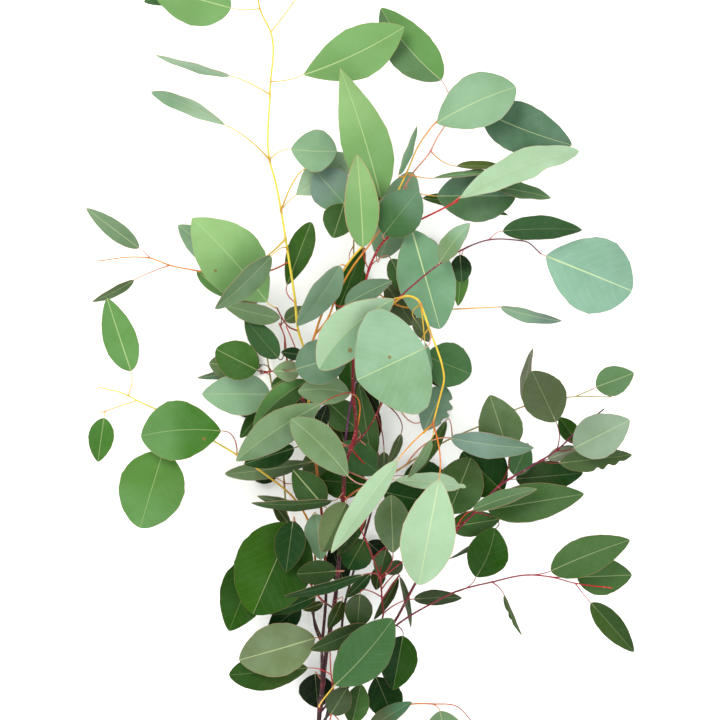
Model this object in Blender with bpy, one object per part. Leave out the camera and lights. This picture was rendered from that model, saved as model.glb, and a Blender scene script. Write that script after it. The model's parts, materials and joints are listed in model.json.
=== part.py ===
"""Cut eucalyptus branch with round silver-green leaves, lying on its lowest leaves.

Metres, +Z up. The branch lies along Y with its cut foot at -Y. The origin is on the flat
underside of the leaf that lies on the surface below the middle of the branch.
"""
import math
from typing import NamedTuple

import bmesh
import bpy
import numpy as np
from mathutils import Vector

# Driving dimensions
MM = 0.001
PIXEL = 0.85 * MM            # one pixel of the reference frame, at the branch's middle height
EYE_HEIGHT = 2400 * MM       # the reference is seen from straight above, from this height
MIDDLE_HEIGHT = 70 * MM      # height where a pixel is worth PIXEL
AXIS = (360.0, 360.0)        # pixel straight below the eye
ORIGIN = (372.0, 398.0)      # pixel of the origin, on the surface
BLADE = 0.75 * MM            # thickness of a leaf
REST = 0.375                 # height in mm of the middle of a leaf that lies on the surface
STALK = 1.3 * MM             # diameter of a leaf stalk
STALK_SINK = 4.5 * MM        # how far a stalk runs into its leaf
SEAT_GAP = 0.3 * MM          # clearance where one shoot leaves another
WIDE_LEAF = 50               # leaves wider than this many pixels have one more station
SHORT_STALK = 14 * MM        # a stalk shorter than this is straight
TWIG_SIDES = 5
STALK_SIDES = 3

# Leaf outlines: exponent that places the widest point, and exponent that fills the ends
OVATE = (0.80, 0.72)
ROUND = (0.92, 0.56)
LONG = (0.72, 0.95)
EVEN = (1.00, 0.66)
DROP = (1.15, 0.80)
FULL = (1.20, 0.62)
SLIM = (1.00, 0.80)

# Colours: red, green, blue
WOOD = (0.16, 0.03, 0.06)
YELLOW = (0.28, 0.45, 0.14)
SAGE = (0.22, 0.38, 0.20)
FRESH = (0.14, 0.34, 0.10)
DEEP = (0.07, 0.20, 0.07)


class Leaf(NamedTuple):
    """A leaf: pixels across and down, heights in mm, width seen in pixels, roll in degrees."""

    name: str
    root: tuple          # across, down: where the stalk leaves the twig
    base: tuple          # across, down, height
    tip: tuple           # across, down, height
    wide: float
    roll: float = 0.0    # turned about its midrib, right side up
    arch: float = 0.03   # rise of the midrib's middle, as a share of the length
    sway: float = 0.0    # sideways bow of the midrib, as a share of the length
    cup: float = 0.14    # rise of the edges, as a share of the half width
    form: tuple = OVATE


class Twig(NamedTuple):
    """A twig: diameters in mm at its start and end, and its route across, down, height."""

    thick: float
    thin: float
    route: tuple


class Shoot(NamedTuple):
    """A leafy shoot, which leaves another shoot at a pixel, or nothing for the main stem."""

    name: str
    parent: str
    fork: tuple
    colour: tuple
    twigs: tuple
    leaves: tuple


MAIN_STEM = Shoot(
    "main_stem", "", (), WOOD,
    (
        Twig(5.0, 1.5, (
            (321, 800, 2.5), (320, 760, 9), (319, 720, 19), (322, 690, 27), (326, 655, 34),
            (331, 625, 41), (335, 600, 46), (339, 560, 54), (343, 500, 62), (346, 464, 66),
            (356, 431, 70), (353, 392, 74), (353, 370, 77), (357, 335, 82), (363, 300, 86),
            (369, 269, 89), (386, 239, 92), (412, 224, 94), (440, 210, 96), (458, 201, 98))),
        Twig(1.7, 1.2, ((366, 283, 87), (400, 306, 79), (430, 309, 79), (479, 308, 86), (499, 307, 88))),
        Twig(2.2, 1.9, ((346, 464, 66), (345, 449, 50), (347, 428, 54), (353, 393, 58), (358, 374, 60),
                        (363, 350, 62))),
    ),
    (
        Leaf("b2b", (456, 202), (460, 198, 100), (579, 151, 112), 31, 20, sway=-0.04, form=FULL),
        Leaf("b3", (450, 205), (497, 187, 90), (551, 198, 88), 16, 30),
        Leaf("a12", (369, 269), (363, 247, 112), (357, 155, 124), 34, -15),
        Leaf("c1", (386, 239), (384, 234, 103), (418, 191, 112), 44, form=ROUND),
        Leaf("c2", (378, 252), (380, 258, 70), (412, 172, 63), 42, form=ROUND),
        Leaf("c4", (369, 267), (391, 259, 84), (410, 297, 84), 22),
        Leaf("g1", (363, 296), (385, 283, 72), (413, 325, 66), 28, form=FULL),
        Leaf("e7", (362, 305), (337, 312, 62), (364, 247, 56), 21, form=EVEN),
        Leaf("b14", (412, 224), (412, 230, 97), (440, 329, 90), 57, form=EVEN),
        Leaf("b9", (498, 307), (501, 307, 89), (562, 321, 91), 12, -60),
        Leaf("v10", (343, 495), (346, 503, 72), (322, 552, 82), 34, 15),
        Leaf("v1", (344, 490), (332, 501, 66), (251, 503, 62), 12, 62),
        Leaf("v12", (338, 572), (336, 571, 80), (297, 574, 84), 25, 0, form=ROUND),
        Leaf("y6", (335, 602), (342, 601, 62), (328, 629, 60), 14, 30),
        Leaf("l1", (353, 392), (321, 404, 96), (236, 461, 98), 36, 12, sway=0.04, form=SLIM),
        Leaf("o3", (356, 431), (350, 394, 75), (298, 391, 87), 30, 10, sway=0.07, form=EVEN),
        Leaf("o4", (355, 440), (357, 429, 50), (328, 402, 48), 32, form=EVEN),
        Leaf("o5", (351, 448), (372, 462, 44), (359, 384, 52), 24),
        Leaf("o6", (355, 436), (376, 441, 38), (364, 387, 38), 20, form=LONG),
        Leaf("o7", (353, 402), (352, 392, 47), (350, 350, 47), 26),
        Leaf("o8", (354, 436), (345, 444, 42), (331, 402, 40), 20),
        Leaf("o9", (351, 446), (318, 430, 50), (327, 404, 50), 15),
        Leaf("q2", (351, 448), (341, 443, 56), (379, 473, 52), 33, form=EVEN),
        Leaf("q4", (345, 470), (368, 484, 46), (318, 480, 42), 34, form=EVEN),
        Leaf("l6", (343, 500), (324, 506, 56), (293, 470, 56), 32),
        Leaf("w8", (338, 585), (344, 582, 36), (331, 546, 32), 24),
        Leaf("w7", (323, 684), (315, 674, 18), (318, 708, 10), 36),
        Leaf("w1", (319, 706), (335, 685, 74), (393, 619, 86), 48, 8, sway=0.03, form=EVEN),
    ),
)

TALL = Shoot(
    "tall_yellow_shoot", "main_stem", (322, 690), YELLOW,
    (
        Twig(3.2, 1.7, (
            (322, 650, 40), (326, 594, 40), (324, 540, 42), (318, 480, 46), (312, 430, 50),
            (307, 385, 54), (305, 353, 58), (298, 329, 62), (295, 300, 64), (287, 248, 67),
            (281, 210, 68), (275, 180, 69), (270, 162, 69), (270, 92, 70), (271, 33, 70),
            (260, 9, 70), (257, -12, 70))),
        Twig(1.8, 1.4, ((298, 332, 62), (289, 327, 64), (281, 316, 68), (277, 308, 71))),
        Twig(1.5, 1.2, ((271, 33, 70), (282, 18, 73), (293, 3, 76))),
    ),
    (
        Leaf("a1", (260, 9), (231, 8, 72), (150, -14, 80), 54, 5),
        Leaf("a2", (258, -6), (196, -16, 58), (144, 2, 56), 26),
        Leaf("a3", (270, 94), (230, 76, 78), (155, 55, 84), 6, 76, arch=0.0),
        Leaf("a4", (270, 160), (225, 125, 76), (151, 92, 80), 14, 62, arch=-0.05, form=FULL),
        Leaf("a5", (292, 4), (297, -2, 78), (316, -28, 80), 24),
        Leaf("a6", (271, 82), (303, 75, 82), (404, 27, 100), 51, -8, sway=0.03, form=DROP),
        Leaf("a7", (270, 160), (291, 149, 76), (337, 151, 80), 43, 6, sway=0.03, form=FULL),
        Leaf("a13", (281, 210), (296, 195, 62), (351, 155, 56), 40, form=DROP),
        Leaf("a14", (281, 210), (316, 172, 68), (352, 212, 72), 42),
        Leaf("a17", (295, 302), (287, 285, 57), (311, 222, 50), 26, form=FULL),
        Leaf("e1", (277, 309), (267, 302, 76), (192, 218, 84), 64, 0, sway=0.025, form=SLIM),
        Leaf("e1b", (285, 238), (225, 262, 62), (178, 225, 60), 30),
        Leaf("e2", (287, 248), (271, 256, 98), (215, 309, 100), 22, 50),
        Leaf("l4", (316, 462), (311, 462, 43), (225, 474, 38), 19, 25, form=FULL),
    ),
)

UPPER = Shoot(
    "upper_shoot", "tall_yellow_shoot", (305, 353), YELLOW,
    (
        Twig(2.6, 1.4, (
            (312, 342, 68), (320, 319, 78), (336, 283, 88), (352, 258, 93), (365, 243, 95),
            (380, 220, 97), (399, 189, 99), (407, 172, 101), (419, 145, 104), (430, 129, 106),
            (437, 121, 107))),
        Twig(2.2, 1.4, (
            (314, 335, 72), (328, 318, 76), (335, 300, 79), (352, 268, 84), (370, 244, 86),
            (392, 212, 88), (413, 173, 92), (430, 152, 96), (437, 138, 97), (444, 127, 97),
            (452, 108, 97))),
    ),
    (
        Leaf("a8", (396, 193), (381, 198, 99), (340, 68, 104), 49, sway=0.015, form=LONG),
        Leaf("a9", (452, 108), (441, 80, 92), (381, 8, 74), 46, sway=-0.05),
        Leaf("a10", (437, 121), (437, 123, 109), (516, 87, 116), 54, 6, sway=-0.03, form=FULL),
        Leaf("a11", (405, 177), (399, 175, 103), (417, 126, 108), 7, -72, arch=0.0),
        Leaf("a16", (388, 218), (344, 204, 84), (333, 238, 78), 33),
        Leaf("a18", (347, 266), (340, 266, 96), (297, 326, 86), 26, 45),
        Leaf("b1", (450, 114), (482, 111, 92), (572, 145, 100), 50, sway=0.03),
        Leaf("b2a", (407, 175), (434, 178, 98), (512, 174, 92), 6, 60),
        Leaf("b4", (405, 188), (437, 196, 84), (516, 196, 80), 53, form=EVEN),
        Leaf("b5", (400, 198), (423, 198, 74), (508, 215, 70), 15, 50),
        Leaf("b6", (430, 152), (457, 166, 90), (508, 168, 86), 9, 50),
        Leaf("e6", (334, 303), (345, 305, 92), (392, 281, 98), 22, 40),
    ),
)

PURPLE = Shoot(
    "purple_twig", "main_stem", (363, 300), SAGE,
    (
        Twig(2.0, 1.3, (
            (374, 303, 96), (393, 301, 103), (412, 286, 107), (430, 271, 109), (450, 257, 110),
            (470, 246, 110), (488, 240, 109), (515, 240, 108), (527, 242, 108), (541, 254, 108))),
    ),
    (
        Leaf("b7", (488, 240), (503, 231, 110), (582, 230, 116), 25, 38),
        Leaf("b8", (540, 253), (546, 256, 108), (632, 291, 104), 76, form=FULL),
        Leaf("c3", (438, 265), (440, 262, 114), (470, 223, 120), 20, 45),
        Leaf("c5", (462, 250), (460, 255, 98), (462, 282, 90), 21, form=ROUND),
        Leaf("c5b", (466, 248), (461, 262, 86), (458, 306, 80), 16, 20),
    ),
)

ARCHING = Shoot(
    "arching_shoot", "main_stem", (356, 343), SAGE,
    (
        Twig(2.8, 1.7, (
            (366, 326, 98), (380, 312, 112), (394, 303, 124), (400, 298, 129), (407, 296, 132),
            (413, 297, 134), (418, 300, 135), (422, 308, 136), (430, 331, 138), (438, 352, 138),
            (442, 365, 137), (444, 379, 136), (441, 393, 135), (437, 408, 134), (433, 424, 133))),
    ),
    (
        Leaf("f1", (400, 298), (394, 299, 130), (319, 369, 124), 46, 10, sway=0.085, form=FULL),
        Leaf("f2", (430, 331), (425, 348, 144), (357, 380, 147), 110, 0, cup=-0.10),
        Leaf("f3", (420, 305), (425, 343, 134), (428, 385, 132), 6, 74),
        Leaf("f4", (429, 328), (426, 356, 122), (471, 374, 118), 44, form=ROUND),
        Leaf("f5", (434, 421), (424, 431, 120), (445, 386, 114), 33, form=FULL),
        Leaf("g2", (421, 306), (414, 318, 122), (429, 342, 118), 15, 20),
        Leaf("h1", (433, 424), (439, 479, 138), (419, 585, 140), 53, 0, cup=-0.10, form=FULL),
        Leaf("h2", (433, 424), (397, 461, 134), (331, 553, 132), 22, -25),
        Leaf("k1", (433, 424), (431, 440, 124), (408, 478, 118), 10, 55),
    ),
)

OLIVE = Shoot(
    "olive_shoot", "main_stem", (343, 500), SAGE,
    (
        Twig(2.2, 1.3, (
            (356, 491, 70), (375, 482, 80), (398, 470, 87), (415, 459, 90), (452, 438, 93),
            (480, 426, 94), (525, 406, 95), (570, 397, 95), (612, 397, 95))),
        Twig(1.4, 1.2, ((576, 397, 95), (593, 389, 97))),
    ),
    (
        Leaf("k2", (452, 438), (446, 421, 104), (416, 473, 100), 11, 45),
        Leaf("i2", (408, 464), (451, 438, 112), (534, 448, 116), 25, -42),
        Leaf("i4", (524, 406), (524, 402, 92), (533, 348, 90), 8, 68),
        Leaf("i5", (592, 389), (596, 387, 98), (634, 373, 100), 30),
        Leaf("l2", (373, 483), (348, 476, 106), (291, 419, 112), 36, -12, sway=0.03, form=FULL),
        Leaf("r1", (398, 470), (395, 480, 103), (466, 487, 107), 17, 40, form=FULL),
        Leaf("r2", (376, 482), (384, 492, 62), (428, 502, 58), 34),
    ),
)

RIGHT = Shoot(
    "right_purple_shoot", "main_stem", (319, 728), DEEP,
    (
        Twig(3.2, 1.5, (
            (333, 708, 38), (350, 684, 46), (372, 652, 56), (395, 621, 66), (415, 584, 74),
            (430, 560, 80), (452, 535, 86), (475, 512, 89), (498, 487, 90), (530, 467, 90),
            (557, 450, 90), (580, 428, 90), (604, 409, 88))),
    ),
    (
        Leaf("i1", (498, 487), (508, 452, 98), (490, 395, 104), 44),
        Leaf("i3", (557, 450), (556, 422, 104), (532, 371, 108), 44, form=EVEN),
        Leaf("i6", (557, 450), (574, 448, 98), (630, 420, 102), 44),
        Leaf("i7", (568, 440), (579, 445, 78), (559, 417, 74), 19, form=SLIM),
        Leaf("i8", (542, 460), (560, 463, 84), (632, 455, 82), 24),
        Leaf("i9", (542, 460), (548, 459, 78), (582, 448, 72), 14, 30),
        Leaf("i10", (510, 480), (516, 479, 76), (583, 473, 72), 32),
        Leaf("t7", (512, 478), (514, 475, 82), (528, 443, 78), 24),
        Leaf("t3", (456, 531), (473, 510, 99), (537, 489, 103), 14, 50),
        Leaf("t4", (475, 512), (488, 510, 84), (584, 494, 90), 38, 8),
        Leaf("t5", (466, 521), (450, 527, 78), (500, 519, 74), 26),
        Leaf("t1", (452, 535), (449, 513, 84), (471, 458, 80), 47, form=ROUND),
        Leaf("t2", (498, 487), (503, 492, 72), (462, 452, 68), 54, form=EVEN),
        Leaf("x2b", (475, 512), (494, 530, 62), (449, 559, 58), 6, 66),
        Leaf("w2", (393, 624), (403, 636, 58), (393, 690, 50), 38),
        Leaf("w3", (360, 670), (376, 677, 42), (394, 719, 38), 36, form=EVEN),
    ),
)

LOWER_RIGHT = Shoot(
    "lower_right_shoot", "right_purple_shoot", (386, 633), DEEP,
    (
        Twig(2.2, 1.3, (
            (398, 624, 60), (418, 611, 64), (431, 604, 67), (455, 592, 71), (492, 582, 75),
            (528, 575, 77), (551, 577, 77), (574, 583, 76), (612, 588, 76))),
    ),
    (
        Leaf("x2", (455, 592), (476, 577, 78), (495, 528, 86), 41, 6, sway=0.06, form=EVEN),
        Leaf("x3", (492, 582), (504, 595, 74), (522, 636, 70), 5, -62),
        Leaf("x4", (528, 575), (551, 571, 82), (630, 540, 88), 38, sway=-0.02),
        Leaf("x5", (551, 577), (577, 577, 71), (632, 575, 66), 38),
        Leaf("x6", (574, 583), (591, 603, 72), (634, 652, 66), 24, 10),
    ),
)

RED_LOWER = Shoot(
    "red_lower_shoot", "main_stem", (320, 715), DEEP,
    (
        Twig(2.4, 1.3, (
            (341, 686, 34), (358, 656, 41), (373, 634, 50), (383, 616, 58), (382, 600, 64),
            (380, 578, 68), (373, 558, 72), (366, 541, 75), (357, 520, 77))),
    ),
    (
        Leaf("r3", (380, 578), (393, 553, 82), (391, 495, 88), 35, form=FULL),
        Leaf("v13", (380, 578), (362, 575, 94), (284, 596, 98), 12, 55),
        Leaf("y8", (360, 530), (366, 514, 71), (337, 556, 64), 15),
        Leaf("y4", (366, 541), (364, 540, 66), (348, 569, 61), 33, form=ROUND),
        Leaf("y2", (373, 558), (386, 550, 62), (379, 577, 58), 19),
        Leaf("y3", (380, 578), (380, 566, 54), (376, 590, 50), 15),
        Leaf("y2b", (380, 580), (402, 562, 66), (387, 574, 62), 14),
        Leaf("x7a", (381, 590), (400, 577, 56), (411, 628, 48), 6, 60),
        Leaf("x7b", (382, 600), (398, 578, 54), (374, 620, 48), 10, 40),
        Leaf("v15", (373, 634), (367, 625, 66), (310, 650, 62), 22, 30),
        Leaf("y5", (382, 598), (360, 594, 70), (357, 630, 64), 28),
        Leaf("y7", (380, 578), (370, 574, 62), (345, 598, 58), 12, 30),
        Leaf("x1", (383, 614), (414, 599, 56), (462, 598, 52), 15, 30),
    ),
)

LOWER_LEFT = Shoot(
    "lower_left_shoot", "main_stem", (334, 608), FRESH,
    (
        Twig(2.2, 1.4, ((320, 598, 56), (310, 583, 57), (301, 560, 58), (295, 538, 60))),
    ),
    (
        Leaf("v3", (299, 553), (292, 524, 68), (253, 614, 74), 78, form=ROUND),
        Leaf("v4", (295, 540), (293, 521, 80), (286, 572, 84), 31),
        Leaf("v5", (301, 562), (258, 558, 50), (229, 631, 56), 50),
        Leaf("v2", (296, 541), (290, 525, 55), (272, 500, 42), 12, 30),
        Leaf("v6", (318, 595), (316, 596, 58), (269, 614, 52), 14, 20),
        Leaf("v7", (312, 586), (300, 606, 44), (268, 632, 40), 26),
        Leaf("v14", (320, 598), (323, 603, 51), (303, 610, 49), 10, 25),
    ),
)

LEFT_GOLDEN = Shoot(
    "left_golden_shoot", "main_stem", (326, 652), YELLOW,
    (
        Twig(2.6, 1.5, (
            (316, 630, 34), (315, 580, 38), (312, 530, 42), (297, 502, 46), (262, 472, 50),
            (237, 455, 54), (212, 440, 57), (190, 427, 60), (160, 411, 62), (138, 401, 63),
            (127, 395, 64), (98, 387, 64))),
        Twig(1.4, 1.2, ((138, 401, 63), (120, 406, 63), (100, 413, 62))),
    ),
    (
        Leaf("d8", (237, 455), (221, 431, 72), (141, 436, 78), 60, sway=0.045, form=FULL),
        Leaf("d9", (196, 431), (163, 452, 65), (140, 528, 70), 66, form=ROUND),
        Leaf("d4", (127, 395), (131, 371, 68), (107, 298, 74), 34),
        Leaf("d10", (106, 411), (104, 418, 62), (98, 462, 58), 26),
        Leaf("v11", (309, 522), (316, 514, 50), (321, 560, 52), 28),
        Leaf("v1b", (297, 502), (292, 503, 54), (257, 496, 54), 9, 40),
    ),
)

LEFT_TOP = Shoot(
    "left_top_shoot", "tall_yellow_shoot", (289, 262), SAGE,
    (
        Twig(1.9, 1.3, (
            (272, 270, 54), (240, 276, 50), (193, 270, 50), (169, 265, 52), (150, 258, 55),
            (135, 257, 57), (98, 261, 58))),
    ),
    (
        Leaf("d1", (149, 258), (139, 248, 60), (86, 208, 66), 19),
        Leaf("d3", (169, 265), (134, 280, 54), (92, 302, 50), 9, 50),
        Leaf("d5", (195, 270), (197, 271, 46), (228, 298, 42), 14),
    ),
)

LEFT_RED = Shoot(
    "left_red_shoot", "main_stem", (345, 478), SAGE,
    (
        Twig(2.4, 1.3, (
            (336, 470, 60), (324, 446, 58), (310, 415, 58), (299, 390, 60), (290, 372, 62),
            (287, 360, 62), (284, 335, 61), (279, 323, 60))),
        Twig(1.6, 1.2, ((291, 374, 62), (274, 371, 66), (260, 374, 70))),
        Twig(1.4, 1.2, ((290, 372, 62), (298, 360, 68), (293, 342, 68), (286, 326, 66))),
    ),
    (
        Leaf("e5", (284, 338), (278, 358, 52), (245, 319, 48), 26),
        Leaf("e3", (280, 325), (280, 318, 58), (224, 305, 58), 20, 30),
        Leaf("e4", (281, 327), (285, 321, 50), (305, 307, 46), 16),
        Leaf("m4", (262, 374), (257, 370, 80), (216, 349, 86), 39, form=ROUND),
        Leaf("m5", (268, 372), (240, 368, 64), (209, 363, 62), 28),
        Leaf("m6", (272, 371), (262, 365, 60), (197, 378, 58), 11, 35),
        Leaf("m3", (276, 371), (270, 394, 67), (202, 394, 71), 43),
        Leaf("m2", (298, 388), (308, 381, 76), (253, 429, 80), 26, 20, sway=0.085),
        Leaf("m1", (303, 400), (268, 404, 56), (240, 438, 54), 18),
        Leaf("n1", (287, 362), (300, 371, 86), (273, 371, 88), 21),
        Leaf("n2", (292, 376), (287, 378, 70), (271, 387, 66), 12),
        Leaf("o1", (287, 362), (296, 369, 99), (347, 354, 104), 45, form=ROUND),
        Leaf("o2", (287, 362), (303, 355, 72), (281, 352, 70), 13),
        Leaf("l3", (318, 433), (294, 448, 66), (244, 464, 63), 25),
    ),
)

BASE = Shoot(
    "base_shoot", "main_stem", (320, 738), FRESH,
    (
        Twig(2.0, 1.3, ((331, 716, 44), (334, 694, 50), (331, 674, 54), (330, 652, 58))),
    ),
    (
        Leaf("v8", (330, 652), (315, 638, 50), (239, 660, 58), 54, 5, form=EVEN),
        Leaf("v9", (331, 674), (308, 668, 44), (229, 675, 46), 37, form=FULL),
        Leaf("w5", (332, 712), (352, 724, 44), (361, 684, 54), 26, form=EVEN),
        Leaf("w6", (332, 708), (331, 714, 58), (347, 688, 64), 26, form=ROUND),
    ),
)

FOOT = Shoot(
    "foot_twig", "main_stem", (320, 758), FRESH,
    (
        Twig(2.0, 1.3, (
            (340, 739, 24), (370, 722, 30), (395, 709, 34), (413, 704, 37), (433, 704, 39),
            (456, 706, 40), (474, 724, 40))),
    ),
    (
        Leaf("w4", (350, 733), (368, 730, 48), (412, 702, 55), 17, 35),
        Leaf("x8", (433, 704), (440, 711, 40), (451, 766, 34), 40),
    ),
)

CENTRE = Shoot(
    "centre_twig", "main_stem", (351, 447), DEEP,
    (
        Twig(1.9, 1.3, ((362, 437, 76), (370, 426, 80), (377, 413, 83), (384, 399, 85), (388, 386, 86))),
    ),
    (
        Leaf("q1", (383, 402), (401, 434, 84), (388, 465, 80), 9, 40),
        Leaf("q3", (377, 413), (384, 452, 66), (384, 478, 62), 14),
    ),
)

BACK_LEFT = Shoot(
    "back_left_shoot", "main_stem", (327, 648), DEEP,
    (
        Twig(2.6, 1.5, (
            (318, 630, 25), (309, 600, 18), (297, 558, 14), (287, 515, 12), (284, 480, 11),
            (281, 440, 10), (270, 375, 9), (262, 322, 9))),
    ),
    (
        Leaf("p1", (301, 550), (289, 560, 5), (254, 594, 3), 44),
        Leaf("p2", (284, 482), (276, 478, 6), (246, 466, 3), 22),
        Leaf("p3", (281, 440), (266, 412, 6), (224, 391, 3), 30),
        Leaf("p4", (270, 376), (258, 368, 7), (229, 350, 4), 28),
        Leaf("p5", (262, 322), (256, 304, REST), (212, 244, REST), 50, 0, 0.0, 0.0, 0.0),
        Leaf("p6", (279, 430), (292, 414, 18), (318, 380, 22), 34, 20),
        Leaf("p7", (284, 482), (306, 478, 22), (336, 452, 26), 34, 15),
    ),
)

BACK_RIGHT = Shoot(
    "back_right_shoot", "main_stem", (320, 735), DEEP,
    (
        Twig(3.2, 1.4, (
            (327, 715, 18), (331, 695, 22), (337, 662, 26), (341, 635, 28), (344, 608, 30),
            (354, 570, 21), (369, 520, 15), (379, 475, 12), (376, 435, 10), (382, 398, 10),
            (404, 360, 9), (418, 320, 9), (422, 290, 9))),
    ),
    (
        Leaf("p8", (369, 520), (368, 542, 7), (388, 560, 3), 22),
        Leaf("p9", (378, 480), (404, 476, 5), (450, 482, 3), 38),
        Leaf("p10", (390, 386), (424, 420, 6), (448, 400, 3), 24),
        Leaf("p11", (404, 360), (424, 372, REST), (463, 366, REST), 36, 0, 0.0, 0.0, 0.0),
        Leaf("p12", (422, 290), (424, 282, 5), (430, 238, 3), 42),
        Leaf("p13", (377, 440), (368, 420, REST), (363, 377, REST), 27, 0, 0.0, 0.0, 0.0),
        Leaf("p14", (379, 470), (372, 446, 18), (344, 430, 20), 30, 15),
    ),
)

BACK_TOP = Shoot(
    "back_top_shoot", "main_stem", (356, 343), DEEP,
    (
        Twig(2.0, 1.4, ((357, 322, 62), (356, 290, 42), (354, 262, 27), (354, 234, 15), (358, 194, 10))),
    ),
    (
        Leaf("p15", (358, 194), (364, 176, REST), (362, 112, REST), 30, 0, 0.0, 0.0, 0.0),
        Leaf("p16", (356, 206), (362, 214, 8), (402, 206, 6), 32),
        Leaf("p17", (354, 246), (350, 262, 12), (362, 296, 8), 22),
    ),
)

SHOOTS = (
    MAIN_STEM, TALL, UPPER, PURPLE, ARCHING, OLIVE, RIGHT, LOWER_RIGHT, RED_LOWER, LOWER_LEFT,
    LEFT_GOLDEN, LEFT_TOP, LEFT_RED, BASE, FOOT, CENTRE, BACK_LEFT, BACK_RIGHT, BACK_TOP,
)


def spot(across, down, height):
    """World place of a spot seen at a pixel: the higher it is, the nearer it is to the eye's axis."""
    def from_axis(z):
        return PIXEL * (EYE_HEIGHT - z) / (EYE_HEIGHT - MIDDLE_HEIGHT)

    z = height * MM
    x = (across - AXIS[0]) * from_axis(z) - (ORIGIN[0] - AXIS[0]) * from_axis(0)
    y = (AXIS[1] - down) * from_axis(z) - (AXIS[1] - ORIGIN[1]) * from_axis(0)
    return Vector((x, y, z))


def radii(twig):
    """Radius at each point of a twig, tapering evenly from its start to its end."""
    return np.linspace(twig.thick, twig.thin, len(twig.route)) * MM / 2


def nearest(twigs, pixel):
    """Point, direction and radius on the axis of the twig that passes nearest to a pixel."""
    best = None
    for twig in twigs:
        points = [spot(*place) for place in twig.route]
        radius = radii(twig)
        for i in range(len(points) - 1):
            start = np.array(twig.route[i][:2], float)
            run = np.array(twig.route[i + 1][:2], float) - start
            share = float(np.clip(np.dot(np.array(pixel) - start, run) / np.dot(run, run), 0, 1))
            gap = float(np.linalg.norm(start + share * run - np.array(pixel)))
            if best is None or gap < best[0]:
                along = (points[i + 1] - points[i]).normalized()
                thick = radius[i] + share * (radius[i + 1] - radius[i])
                best = (gap, points[i].lerp(points[i + 1], share), along, thick)
    return best[1:]


def seat(twigs, pixel, toward, own_radius):
    """Start of a shoot's twig: just clear of the skin of the twig that it grows from."""
    centre, along, radius = nearest(twigs, pixel)
    reach = toward - centre
    outward = reach - along * reach.dot(along)
    lean = abs(reach.normalized().dot(along))
    outward.normalize()
    return centre + outward * (radius + SEAT_GAP + own_radius * lean)


def link(obj, name, mesh_colour, collection):
    """Put an object in a collection with a name and a material of its own."""
    obj.name = name
    collection.objects.link(obj)
    material = bpy.data.materials.new(name + "_finish")
    material.use_nodes = True
    shader = material.node_tree.nodes["Principled BSDF"]
    shader.inputs["Base Color"].default_value = (*mesh_colour, 1.0)
    shader.inputs["Roughness"].default_value = 0.55
    shader.inputs["Metallic"].default_value = 0.0
    obj.data.materials.clear()
    obj.data.materials.append(material)


def section(sides):
    """Closed ring of a rod's section, one metre in radius."""
    curve = bpy.data.curves.new("section", "CURVE")
    spline = curve.splines.new("POLY")
    spline.points.add(sides - 1)
    for i, point in enumerate(spline.points):
        turn = 2 * math.pi * i / sides
        point.co = (math.cos(turn), math.sin(turn), 0.0, 1.0)
    spline.use_cyclic_u = True
    ring = bpy.data.objects.new("section", curve)
    bpy.context.scene.collection.objects.link(ring)
    return ring


def tube(points, point_radii, sides):
    """Closed mesh of a rod through the points, with a radius at each."""
    ring = section(sides)
    curve = bpy.data.curves.new("rod", "CURVE")
    curve.dimensions = "3D"
    curve.bevel_mode = "OBJECT"
    curve.bevel_object = ring
    curve.use_fill_caps = True
    spline = curve.splines.new("POLY")
    spline.points.add(len(points) - 1)
    for point, place, radius in zip(spline.points, points, point_radii):
        point.co = (*place, 1.0)
        point.radius = radius
    rod = bpy.data.objects.new("rod", curve)
    bpy.context.scene.collection.objects.link(rod)
    seen = rod.evaluated_get(bpy.context.evaluated_depsgraph_get())
    mesh = bpy.data.meshes.new_from_object(seen)
    for helper in (rod, ring):
        data = helper.data
        bpy.data.objects.remove(helper)
        bpy.data.curves.remove(data)
    work = bmesh.new()
    work.from_mesh(mesh)
    bmesh.ops.remove_doubles(work, verts=work.verts, dist=0.001 * MM)
    bmesh.ops.triangulate(work, faces=work.faces)
    bmesh.ops.recalc_face_normals(work, faces=work.faces)
    work.to_mesh(mesh)
    work.free()
    return mesh


def blade_frame(leaf):
    """Base, length, and the along, side and face directions of a leaf."""
    base = np.array(spot(*leaf.base))
    run = np.array(spot(*leaf.tip)) - base
    length = float(np.linalg.norm(run))
    along = run / length
    level = np.cross(along, (0.0, 0.0, 1.0))
    level /= np.linalg.norm(level)
    upright = np.cross(level, along)
    turn = math.radians(leaf.roll)
    side = level * math.cos(turn) + upright * math.sin(turn)
    face = upright * math.cos(turn) - level * math.sin(turn)
    return base, length, along, side, face


def blade_points(leaf, share, across):
    """Points on a leaf's middle surface.

    share runs from 0 at the base to 1 at the tip and across from -1 to 1 over the width. The
    half width follows a sine whose argument and result are raised to the outline's exponents.
    The midrib bows up and sideways as a parabola, and the edges rise from it in proportion.
    """
    base, length, along, side, face = blade_frame(leaf)
    full = leaf.wide * PIXEL / math.cos(math.radians(leaf.roll))
    place, fill = leaf.form
    half = full / 2 * np.sin(np.pi * np.clip(share, 0, 1) ** place).clip(0) ** fill
    bow = 4 * share * (1 - share) * length
    lift = leaf.arch * bow + leaf.cup * half * np.abs(across)
    shift = leaf.sway * bow + half * across
    return base + np.outer(share * length, along) + np.outer(shift, side) + np.outer(lift, face)


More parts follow.
